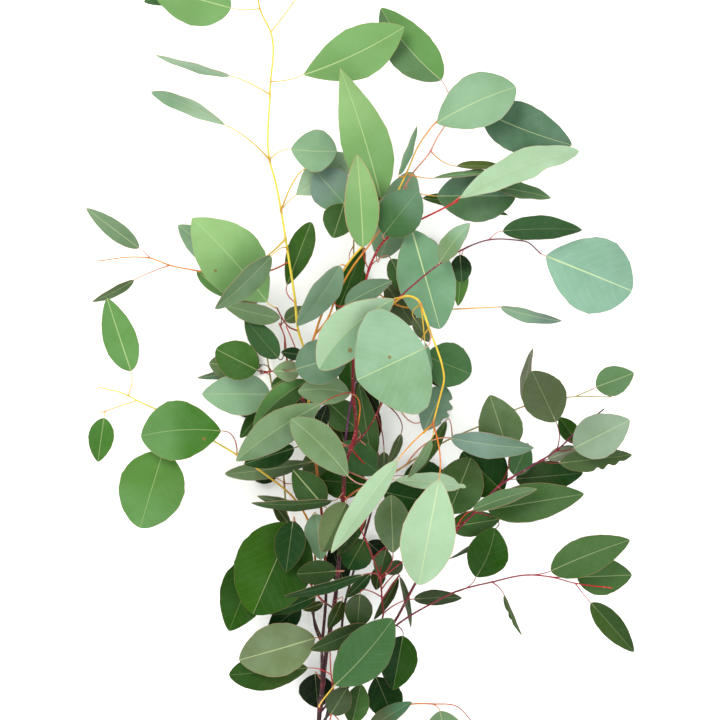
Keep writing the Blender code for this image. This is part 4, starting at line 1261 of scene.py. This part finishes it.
ARCHING = LeafyShoot(
    "arching_shoot", "main_stem", (356, 343), BarkSlot.YELLOW, Bark.GOLD,
    (
        Twig(2.8, 1.7, ((366, 326, 98), (380, 312, 112), (394, 303, 124), (400, 298, 129),
              (407, 296, 132), (413, 297, 134), (418, 300, 135), (422, 308, 136), (430, 331, 138),
              (438, 352, 138), (442, 365, 137), (444, 379, 136), (441, 393, 135), (437, 408, 134),
              (433, 424, 133)), (Bark.RUST, Bark.AMBER, Bark.GOLD, Bark.YELLOW, Bark.GOLD, Bark.GOLD)),
    ),
    (
        Leaf("f1", (400, 298), (394, 299, 130), (319, 369, 124), 46, Tone.GLAUCOUS, 10, sway=0.085,
             form=Outline.FULL, right=Tone.PALE, red=0.8, rib=0.55, veins=0.3,
             spot=Spot(0.65, -0.62, 1.9)),
        Leaf("f2", (430, 331), (425, 348, 144), (357, 380, 147), 110, Tone.GLAUCOUS, cup=-0.1,
             right=Tone.FROST, red=0.5, rib=0.6, veins=0.4, spot=Spot(0.48, 0.12, 1.5),
             stalk=Bark.PINK),
        Leaf("f3", (420, 305), (425, 343, 134), (428, 385, 132), 6, Tone.JADE, 74),
        Leaf("f4", (429, 328), (426, 356, 122), (471, 374, 118), 44, Tone.SEA, form=Outline.ROUND),
        Leaf("f5", (434, 421), (424, 431, 120), (445, 386, 114), 33, Tone.SLATE, form=Outline.FULL,
             far=Tone.MIST,
             bites=(Bite(1, 0.35, 0.05, 0.25), Bite(1, 0.55, 0.04, 0.3), Bite(1, 0.75, 0.05, 0.3))),
        Leaf("g2", (421, 306), (414, 318, 122), (429, 342, 118), 15, Tone.STONE, 20),
        Leaf("h1", (433, 424), (439, 479, 138), (419, 585, 140), 53, Tone.PALE, cup=-0.1,
             form=Outline.FULL, red=0.7, rib=0.6, stalk=Bark.ORANGE),
        Leaf("h2", (433, 424), (397, 461, 134), (331, 553, 132), 22, Tone.PALE, -25, red=0.4,
             stalk=Bark.AMBER),
        Leaf("k1", (433, 424), (431, 440, 124), (408, 478, 118), 10, Tone.CELERY, 55, far=Tone.SAGE),
    ),
)

OLIVE = LeafyShoot(
    "olive_shoot", "main_stem", (343, 500), BarkSlot.YELLOW, Bark.BLUSH,
    (
        Twig(2.2, 1.3, ((356, 491, 70), (375, 482, 80), (398, 470, 87), (415, 459, 90), (452, 438, 93),
              (480, 426, 94), (525, 406, 95), (570, 397, 95), (612, 397, 95)),
             (Bark.RUST, Bark.OLIVE, Bark.OLIVE, Bark.OLIVE)),
        Twig(1.4, 1.2, ((576, 397, 95), (593, 389, 97)), (Bark.OLIVE, Bark.OLIVE)),
    ),
    (
        Leaf("k2", (452, 438), (446, 421, 104), (416, 473, 100), 11, Tone.IVY, 45),
        Leaf("i2", (408, 464), (451, 438, 112), (534, 448, 116), 25, Tone.BLUE, -42, far=Tone.SLATE),
        Leaf("i4", (524, 406), (524, 402, 92), (533, 348, 90), 8, Tone.ASH, 68),
        Leaf("i5", (592, 389), (596, 387, 98), (634, 373, 100), 30, Tone.FERN),
        Leaf("l2", (373, 483), (348, 476, 106), (291, 419, 112), 36, Tone.CELERY, -12, sway=0.03,
             form=Outline.FULL, stalk=Bark.PINK),
        Leaf("r1", (398, 470), (395, 480, 103), (466, 487, 107), 17, Tone.PALE, 40, form=Outline.FULL,
             bites=(Bite(-1, 0.9, 0.06, 0.6), Bite(1, 0.93, 0.05, 0.5))),
        Leaf("r2", (376, 482), (384, 492, 62), (428, 502, 58), 34, Tone.PINE),
    ),
)

RIGHT = LeafyShoot(
    "right_purple_shoot", "main_stem", (319, 728), BarkSlot.RED, Bark.WINE,
    (
        Twig(3.2, 1.5, ((333, 708, 38), (350, 684, 46), (372, 652, 56), (395, 621, 66), (415, 584, 74),
              (430, 560, 80), (452, 535, 86), (475, 512, 89), (498, 487, 90), (530, 467, 90),
              (557, 450, 90), (580, 428, 90), (604, 409, 88)),
             (Bark.INKY, Bark.PLUM, Bark.WINE, Bark.PURPLE, Bark.PLUM)),
    ),
    (
        Leaf("i1", (498, 487), (508, 452, 98), (490, 395, 104), 44, Tone.WILLOW),
        Leaf("i3", (557, 450), (556, 422, 104), (532, 371, 108), 44, Tone.STONE, form=Outline.EVEN),
        Leaf("i6", (557, 450), (574, 448, 98), (630, 420, 102), 44, Tone.HOAR),
        Leaf("i7", (568, 440), (579, 445, 78), (559, 417, 74), 19, Tone.FOREST, form=Outline.SLIM,
             right=Tone.PALM),
        Leaf("i8", (542, 460), (560, 463, 84), (632, 455, 82), 24, Tone.OLIVE,
             bites=(Bite(1, 0.5, 0.04, 0.3), Bite(1, 0.66, 0.05, 0.35), Bite(1, 0.82, 0.04, 0.3))),
        Leaf("i9", (542, 460), (548, 459, 78), (582, 448, 72), 14, Tone.ASH, 30),
        Leaf("i10", (510, 480), (516, 479, 76), (583, 473, 72), 32, Tone.LAUREL, far=Tone.PINE),
        Leaf("t7", (512, 478), (514, 475, 82), (528, 443, 78), 24, Tone.SEA),
        Leaf("t3", (456, 531), (473, 510, 99), (537, 489, 103), 14, Tone.FERN, 50, far=Tone.SAGE,
             stalk=Bark.RED),
        Leaf("t4", (475, 512), (488, 510, 84), (584, 494, 90), 38, Tone.CLOVER, 8),
        Leaf("t5", (466, 521), (450, 527, 78), (500, 519, 74), 26, Tone.PALM, right=Tone.CLOVER),
        Leaf("t1", (452, 535), (449, 513, 84), (471, 458, 80), 47, Tone.CLOVER, form=Outline.ROUND,
             far=Tone.IVY),
        Leaf("t2", (498, 487), (503, 492, 72), (462, 452, 68), 54, Tone.FOREST, form=Outline.EVEN,
             right=Tone.PINE),
        Leaf("x2b", (475, 512), (494, 530, 62), (449, 559, 58), 6, Tone.PINE, 66),
        Leaf("w2", (393, 624), (403, 636, 58), (393, 690, 50), 38, Tone.FOREST, right=Tone.BOTTLE),
        Leaf("w3", (360, 670), (376, 677, 42), (394, 719, 38), 36, Tone.BOTTLE, form=Outline.EVEN,
             far=Tone.PINE),
    ),
)

LOWER_RIGHT = LeafyShoot(
    "lower_right_shoot", "right_purple_shoot", (386, 633), BarkSlot.RED, Bark.CRIMSON,
    (
        Twig(2.2, 1.3, ((398, 624, 60), (418, 611, 64), (431, 604, 67), (455, 592, 71), (492, 582, 75),
              (528, 575, 77), (551, 577, 77), (574, 583, 76), (612, 588, 76)),
             (Bark.PURPLE, Bark.WINE, Bark.CRIMSON, Bark.RED)),
    ),
    (
        Leaf("x2", (455, 592), (476, 577, 78), (495, 528, 86), 41, Tone.FOREST, 6, sway=0.06,
             form=Outline.EVEN),
        Leaf("x3", (492, 582), (504, 595, 74), (522, 636, 70), 5, Tone.OLIVE, -62,
             bites=(Bite(1, 0.4, 0.05, 0.4), Bite(1, 0.6, 0.05, 0.4))),
        Leaf("x4", (528, 575), (551, 571, 82), (630, 540, 88), 38, Tone.CLOVER, sway=-0.02),
        Leaf("x5", (551, 577), (577, 577, 71), (632, 575, 66), 38, Tone.CLOVER),
        Leaf("x6", (574, 583), (591, 603, 72), (634, 652, 66), 24, Tone.LAUREL, 10, right=Tone.IVY),
    ),
)

RED_LOWER = LeafyShoot(
    "red_lower_shoot", "main_stem", (320, 715), BarkSlot.RED, Bark.CRIMSON,
    (
        Twig(2.4, 1.3, ((341, 686, 34), (358, 656, 41), (373, 634, 50), (383, 616, 58), (382, 600, 64),
              (380, 578, 68), (373, 558, 72), (366, 541, 75), (357, 520, 77)),
             (Bark.PLUM, Bark.WINE, Bark.WINE, Bark.CRIMSON)),
    ),
    (
        Leaf("r3", (380, 578), (393, 553, 82), (391, 495, 88), 35, Tone.WILLOW, form=Outline.FULL),
        Leaf("v13", (380, 578), (362, 575, 94), (284, 596, 98), 12, Tone.YEW, 55),
        Leaf("y8", (360, 530), (366, 514, 71), (337, 556, 64), 15, Tone.LAUREL),
        Leaf("y4", (366, 541), (364, 540, 66), (348, 569, 61), 33, Tone.LAUREL, form=Outline.ROUND,
             far=Tone.YEW),
        Leaf("y2", (373, 558), (386, 550, 62), (379, 577, 58), 19, Tone.LAUREL, right=Tone.OLIVE),
        Leaf("y3", (380, 578), (380, 566, 54), (376, 590, 50), 15, Tone.DUSK),
        Leaf("y2b", (380, 580), (402, 562, 66), (387, 574, 62), 14, Tone.DRAB),
        Leaf("x7a", (381, 590), (400, 577, 56), (411, 628, 48), 6, Tone.DRAB, 60),
        Leaf("x7b", (382, 600), (398, 578, 54), (374, 620, 48), 10, Tone.DUSK, 40),
        Leaf("v15", (373, 634), (367, 625, 66), (310, 650, 62), 22, Tone.LAUREL, 30, red=0.7),
        Leaf("y5", (382, 598), (360, 594, 70), (357, 630, 64), 28, Tone.DRAB, far=Tone.LAUREL),
        Leaf("y7", (380, 578), (370, 574, 62), (345, 598, 58), 12, Tone.YEW, 30, far=Tone.LAUREL),
        Leaf("x1", (383, 614), (414, 599, 56), (462, 598, 52), 15, Tone.DRAB, 30),
    ),
)

LOWER_LEFT = LeafyShoot(
    "lower_left_shoot", "main_stem", (334, 608), BarkSlot.RED, Bark.BLUSH,
    (
        Twig(2.2, 1.4, ((320, 598, 56), (310, 583, 57), (301, 560, 58), (295, 538, 60)),
             (Bark.PLUM, Bark.RUST, Bark.BLUSH)),
    ),
    (
        Leaf("v3", (299, 553), (292, 524, 68), (253, 614, 74), 78, Tone.FOREST, form=Outline.ROUND,
             right=Tone.PALM, rib=0.9, veins=0.12, spot=Spot(0.35, -0.4, 1.4)),
        Leaf("v4", (295, 540), (293, 521, 80), (286, 572, 84), 31, Tone.YEW),
        Leaf("v5", (301, 562), (258, 558, 50), (229, 631, 56), 50, Tone.FOREST),
        Leaf("v2", (296, 541), (290, 525, 55), (272, 500, 42), 12, Tone.DUSK, 30),
        Leaf("v6", (318, 595), (316, 596, 58), (269, 614, 52), 14, Tone.PINE, 20),
        Leaf("v7", (312, 586), (300, 606, 44), (268, 632, 40), 26, Tone.BOTTLE),
        Leaf("v14", (320, 598), (323, 603, 51), (303, 610, 49), 10, Tone.DUSK, 25),
    ),
)

LEFT_GOLDEN = LeafyShoot(
    "left_golden_shoot", "main_stem", (326, 652), BarkSlot.YELLOW, Bark.GOLD,
    (
        Twig(2.6, 1.5, ((316, 630, 34), (315, 580, 38), (312, 530, 42), (297, 502, 46), (262, 472, 50),
              (237, 455, 54), (212, 440, 57), (190, 427, 60), (160, 411, 62), (138, 401, 63),
              (127, 395, 64), (98, 387, 64)),
             (Bark.PLUM, Bark.PLUM, Bark.AMBER, Bark.GOLD, Bark.YELLOW, Bark.YELLOW, Bark.YELLOW)),
        Twig(1.4, 1.2, ((138, 401, 63), (120, 406, 63), (100, 413, 62)), (Bark.GOLD, Bark.GOLD)),
    ),
    (
        Leaf("d8", (237, 455), (221, 431, 72), (141, 436, 78), 60, Tone.GRASS, sway=0.045,
             form=Outline.FULL, far=Tone.FRESH, rib=0.34, spot=Spot(0.22, -0.3, 1.6), stalk=Bark.RUST),
        Leaf("d9", (196, 431), (163, 452, 65), (140, 528, 70), 66, Tone.APPLE, form=Outline.ROUND,
             far=Tone.FRESH, rib=0.34),
        Leaf("d4", (127, 395), (131, 371, 68), (107, 298, 74), 34, Tone.FRESH, rib=0.6),
        Leaf("d10", (106, 411), (104, 418, 62), (98, 462, 58), 26, Tone.GRASS),
        Leaf("v11", (309, 522), (316, 514, 50), (321, 560, 52), 28, Tone.GLAUCOUS),
        Leaf("v1b", (297, 502), (292, 503, 54), (257, 496, 54), 9, Tone.WILLOW, 40),
    ),
)

LEFT_TOP = LeafyShoot(
    "left_top_shoot", "tall_yellow_shoot", (289, 262), BarkSlot.YELLOW, Bark.BLUSH,
    (
        Twig(1.9, 1.3, ((272, 270, 54), (240, 276, 50), (193, 270, 50), (169, 265, 52), (150, 258, 55),
              (135, 257, 57), (98, 261, 58)), (Bark.RUST, Bark.ORANGE, Bark.AMBER, Bark.ORANGE)),
    ),
    (
        Leaf("d1", (149, 258), (139, 248, 60), (86, 208, 66), 19, Tone.SAGE),
        Leaf("d3", (169, 265), (134, 280, 54), (92, 302, 50), 9, Tone.WILLOW, 50),
        Leaf("d5", (195, 270), (197, 271, 46), (228, 298, 42), 14, Tone.FRESH),
    ),
)

LEFT_RED = LeafyShoot(
    "left_red_shoot", "main_stem", (345, 478), BarkSlot.RED, Bark.WINE,
    (
        Twig(2.4, 1.3, ((336, 470, 60), (324, 446, 58), (310, 415, 58), (299, 390, 60), (290, 372, 62),
              (287, 360, 62), (284, 335, 61), (279, 323, 60)),
             (Bark.PLUM, Bark.WINE, Bark.WINE, Bark.RUST)),
        Twig(1.6, 1.2, ((291, 374, 62), (274, 371, 66), (260, 374, 70)), (Bark.WINE, Bark.RED)),
        Twig(1.4, 1.2, ((290, 372, 62), (298, 360, 68), (293, 342, 68), (286, 326, 66)),
             (Bark.WINE, Bark.RED)),
    ),
    (
        Leaf("e5", (284, 338), (278, 358, 52), (245, 319, 48), 26, Tone.SEA),
        Leaf("e3", (280, 325), (280, 318, 58), (224, 305, 58), 20, Tone.CELERY, 30),
        Leaf("e4", (281, 327), (285, 321, 50), (305, 307, 46), 16, Tone.WILLOW),
        Leaf("m4", (262, 374), (257, 370, 80), (216, 349, 86), 39, Tone.PALM, form=Outline.ROUND),
        Leaf("m5", (268, 372), (240, 368, 64), (209, 363, 62), 28, Tone.WILLOW),
        Leaf("m6", (272, 371), (262, 365, 60), (197, 378, 58), 11, Tone.MIST, 35),
        Leaf("m3", (276, 371), (270, 394, 67), (202, 394, 71), 43, Tone.GLAUCOUS, stalk=Bark.PINK),
        Leaf("m2", (298, 388), (308, 381, 76), (253, 429, 80), 26, Tone.CLOVER, 20, sway=0.085,
             right=Tone.FRESH),
        Leaf("m1", (303, 400), (268, 404, 56), (240, 438, 54), 18, Tone.FOREST),
        Leaf("n1", (287, 362), (300, 371, 86), (273, 371, 88), 21, Tone.GREY_SAGE, far=Tone.CELERY),
        Leaf("n2", (292, 376), (287, 378, 70), (271, 387, 66), 12, Tone.PALM),
        Leaf("o1", (287, 362), (296, 369, 99), (347, 354, 104), 45, Tone.MIST, form=Outline.ROUND),
        Leaf("o2", (287, 362), (303, 355, 72), (281, 352, 70), 13, Tone.BOTTLE),
        Leaf("l3", (318, 433), (294, 448, 66), (244, 464, 63), 25, Tone.YEW, far=Tone.PINE),
    ),
)

BASE = LeafyShoot(
    "base_shoot", "main_stem", (320, 738), BarkSlot.RED, Bark.RUST,
    (
        Twig(2.0, 1.3, ((331, 716, 44), (334, 694, 50), (331, 674, 54), (330, 652, 58)),
             (Bark.PLUM, Bark.RUST, Bark.RUST, Bark.RUST)),
    ),
    (
        Leaf("v8", (330, 652), (315, 638, 50), (239, 660, 58), 54, Tone.GREY_SAGE, 5, form=Outline.EVEN,
             rib=0.6),
        Leaf("v9", (331, 674), (308, 668, 44), (229, 675, 46), 37, Tone.IVY, form=Outline.FULL,
             far=Tone.FOREST, stalk=Bark.RED),
        Leaf("w5", (332, 712), (352, 724, 44), (361, 684, 54), 26, Tone.LAUREL, form=Outline.EVEN,
             right=Tone.CLOVER),
        Leaf("w6", (332, 708), (331, 714, 58), (347, 688, 64), 26, Tone.DRAB, form=Outline.ROUND),
    ),
)

FOOT = LeafyShoot(
    "foot_twig", "main_stem", (320, 758), BarkSlot.RED, Bark.ORANGE,
    (
        Twig(2.0, 1.3, ((340, 739, 24), (370, 722, 30), (395, 709, 34), (413, 704, 37), (433, 704, 39),
              (456, 706, 40), (474, 724, 40)), (Bark.PLUM, Bark.WINE, Bark.ORANGE, Bark.WINE)),
    ),
    (
        Leaf("w4", (350, 733), (368, 730, 48), (412, 702, 55), 17, Tone.STONE, 35, far=Tone.TEAL),
        Leaf("x8", (433, 704), (440, 711, 40), (451, 766, 34), 40, Tone.SAGE),
    ),
)

CENTRE = LeafyShoot(
    "centre_twig", "main_stem", (351, 447), BarkSlot.RED, Bark.WINE,
    (
        Twig(1.9, 1.3, ((362, 437, 76), (370, 426, 80), (377, 413, 83), (384, 399, 85), (388, 386, 86)),
             (Bark.WINE, Bark.WINE, Bark.CRIMSON)),
    ),
    (
        Leaf("q1", (383, 402), (401, 434, 84), (388, 465, 80), 9, Tone.STONE, 40),
        Leaf("q3", (377, 413), (384, 452, 66), (384, 478, 62), 14, Tone.DRAB),
    ),
)

BACK_LEFT = LeafyShoot(
    "back_left_shoot", "main_stem", (327, 648), BarkSlot.RED, Bark.BLUSH,
    (
        Twig(2.6, 1.5, ((318, 630, 25), (309, 600, 18), (297, 558, 14), (287, 515, 12), (284, 480, 11),
              (281, 440, 10), (270, 375, 9), (262, 322, 9)), (Bark.PLUM, Bark.OLIVE, Bark.OLIVE)),
    ),
    (
        Leaf("p1", (301, 550), (289, 560, 5), (254, 594, 3), 44, Tone.NIGHT),
        Leaf("p2", (284, 482), (276, 478, 6), (246, 466, 3), 22, Tone.NIGHT),
        Leaf("p3", (281, 440), (266, 412, 6), (224, 391, 3), 30, Tone.NIGHT),
        Leaf("p4", (270, 376), (258, 368, 7), (229, 350, 4), 28, Tone.NIGHT),
        resting("p5", (262, 322), (256, 304), (212, 244), 50, Tone.GREY_SAGE),
        Leaf("p6", (279, 430), (292, 414, 18), (318, 380, 22), 34, Tone.INK, 20),
        Leaf("p7", (284, 482), (306, 478, 22), (336, 452, 26), 34, Tone.OLIVE, 15),
    ),
)

BACK_RIGHT = LeafyShoot(
    "back_right_shoot", "main_stem", (320, 735), BarkSlot.RED, Bark.BLUSH,
    (
        Twig(3.2, 1.4, ((327, 715, 18), (331, 695, 22), (337, 662, 26), (341, 635, 28), (344, 608, 30),
              (354, 570, 21), (369, 520, 15), (379, 475, 12), (376, 435, 10), (382, 398, 10),
              (404, 360, 9), (418, 320, 9), (422, 290, 9)),
             (Bark.INKY, Bark.PLUM, Bark.PLUM, Bark.PLUM, Bark.OLIVE, Bark.OLIVE)),
    ),
    (
        Leaf("p8", (369, 520), (368, 542, 7), (388, 560, 3), 22, Tone.INK),
        Leaf("p9", (378, 480), (404, 476, 5), (450, 482, 3), 38, Tone.PINE),
        Leaf("p10", (390, 386), (424, 420, 6), (448, 400, 3), 24, Tone.NIGHT),
        resting("p11", (404, 360), (424, 372), (463, 366), 36, Tone.NIGHT),
        Leaf("p12", (422, 290), (424, 282, 5), (430, 238, 3), 42, Tone.NIGHT),
        resting("p13", (377, 440), (368, 420), (363, 377), 27, Tone.NIGHT),
        Leaf("p14", (379, 470), (372, 446, 18), (344, 430, 20), 30, Tone.LAUREL, 15),
    ),
)

BACK_TOP = LeafyShoot(
    "back_top_shoot", "main_stem", (356, 343), BarkSlot.RED, Bark.BLUSH,
    (
        Twig(2.0, 1.4, ((357, 322, 62), (356, 290, 42), (354, 262, 27), (354, 234, 15), (358, 194, 10)),
             (Bark.OLIVE, Bark.OLIVE)),
    ),
    (
        resting("p15", (358, 194), (364, 176), (362, 112), 30, Tone.NIGHT),
        Leaf("p16", (356, 206), (362, 214, 8), (402, 206, 6), 32, Tone.NIGHT),
        Leaf("p17", (354, 246), (350, 262, 12), (362, 296, 8), 22, Tone.FOREST),
    ),
)
SHOOTS = (
    MAIN_STEM, TALL, UPPER, PURPLE, ARCHING, OLIVE, RIGHT, LOWER_RIGHT, RED_LOWER, LOWER_LEFT,
    LEFT_GOLDEN, LEFT_TOP, LEFT_RED, BASE, FOOT, CENTRE, BACK_LEFT, BACK_RIGHT, BACK_TOP,
)


@dataclass(frozen=True)
class SoftLight:
    """A square soft light: where it hangs, its side in metres, its power in watts and its colour."""

    name: str
    place: Spot3
    side: float
    watts: float
    hex_colour: str

    def hang(self, aim: Vector) -> None:
        """Hang the light so that it faces a place.

        Args:
            aim: the place.
        """
        lamp = bpy.data.lights.new(self.name, "AREA")
        lamp.shape = "SQUARE"
        lamp.size = self.side
        lamp.energy = self.watts
        lamp.color = linear(self.hex_colour)
        held = bpy.data.objects.new(self.name, lamp)
        bpy.context.scene.collection.objects.link(held)
        held.location = self.place
        held.rotation_euler = (aim - held.location).to_track_quat("-Z", "Y").to_euler()


@dataclass(frozen=True)
class Studio:
    """Plain pale floor, soft light all round and the camera above the branch."""

    floor_side: float = 12.0
    floor_hex: str = "#fbfbfa"
    sky: float = 1.14
    sensor: float = 36.0
    picture_pixels: float = 720.0
    aim: Spot3 = (0.0, 0.03, 0.05)
    lights: tuple[SoftLight, ...] = (
        SoftLight("key", (-1.3, 1.5, 2.6), 1.6, 82.0, "#fffdf6"),
        SoftLight("fill", (1.7, -0.6, 2.2), 2.2, 38.0, "#f8fbff"),
        SoftLight("low", (-0.4, -2.0, 1.5), 2.0, 24.0, "#ffffff"),
    )

    def lay_floor(self) -> None:
        """A level floor of matt pressed paper under the branch."""
        half = self.floor_side / 2
        corners = [(x * half, y * half, 0.0) for x, y in ((-1, -1), (1, -1), (1, 1), (-1, 1))]
        mesh = bpy.data.meshes.new("floor")
        mesh.from_pydata(corners, [], [(0, 1, 2, 3)])
        made, tree = start_finish("pale_matt_paper", 0.95, 1.5, 0.1)
        shader = tree.nodes["Principled BSDF"]
        shader.inputs["Base Color"].default_value = (*linear(self.floor_hex), 1.0)
        mesh.materials.append(made)
        floor = bpy.data.objects.new("floor", mesh)
        bpy.context.scene.collection.objects.link(floor)

    def light_sky(self) -> None:
        """Even white light from all round."""
        world = bpy.data.worlds.new("soft_sky")
        world.use_nodes = True
        back = world.node_tree.nodes["Background"]
        back.inputs["Color"].default_value = (1.0, 1.0, 1.0, 1.0)
        back.inputs["Strength"].default_value = self.sky
        bpy.context.scene.world = world
        bpy.context.scene.view_settings.view_transform = "Standard"

    def place_camera(self) -> None:
        """A camera straight above AXIS, in which a pixel at the height MIDDLE is worth PIXEL."""
        lens = bpy.data.cameras.new("above")
        lens.sensor_width = self.sensor
        lens.lens = self.sensor * (EYE - MIDDLE) / (self.picture_pixels * PIXEL)
        lens.clip_end = 60.0
        camera = bpy.data.objects.new("above", lens)
        bpy.context.scene.collection.objects.link(camera)
        camera.location = (*EYE_SPOT, EYE)
        bpy.context.scene.camera = camera

    def build(self) -> None:
        """Floor, lights, sky and camera."""
        self.lay_floor()
        for light in self.lights:
            light.hang(Vector(self.aim))
        self.light_sky()
        self.place_camera()


def main() -> None:
    """Grow and dress every shoot, then light the branch and note its size."""
    logging.basicConfig(level=logging.INFO, format="%(name)s: %(message)s")
    finishes = {
        Family.SAGE.value: LeafFinish(Family.SAGE, bloom=0.10, roughness=0.60, gloss=0.16).material(),
        Family.FRESH.value: LeafFinish(Family.FRESH, bloom=0.04, roughness=0.52, gloss=0.11).material(),
        Family.DEEP.value: LeafFinish(Family.DEEP, bloom=0.02, roughness=0.54, gloss=0.05).material(),
    }
    finishes.update({slot.value: BarkFinish(slot).material() for slot in BarkSlot})
    grown: dict[str, LeafyShoot] = {}
    for shoot in SHOOTS:
        shoot.grow(grown)
        grown[shoot.name] = shoot
        for piece in shoot.build(finishes):
            log.info("%s: %d faces", piece.name, len(piece.data.polygons))
    Studio().build()


if __name__ == "__main__":
    main()
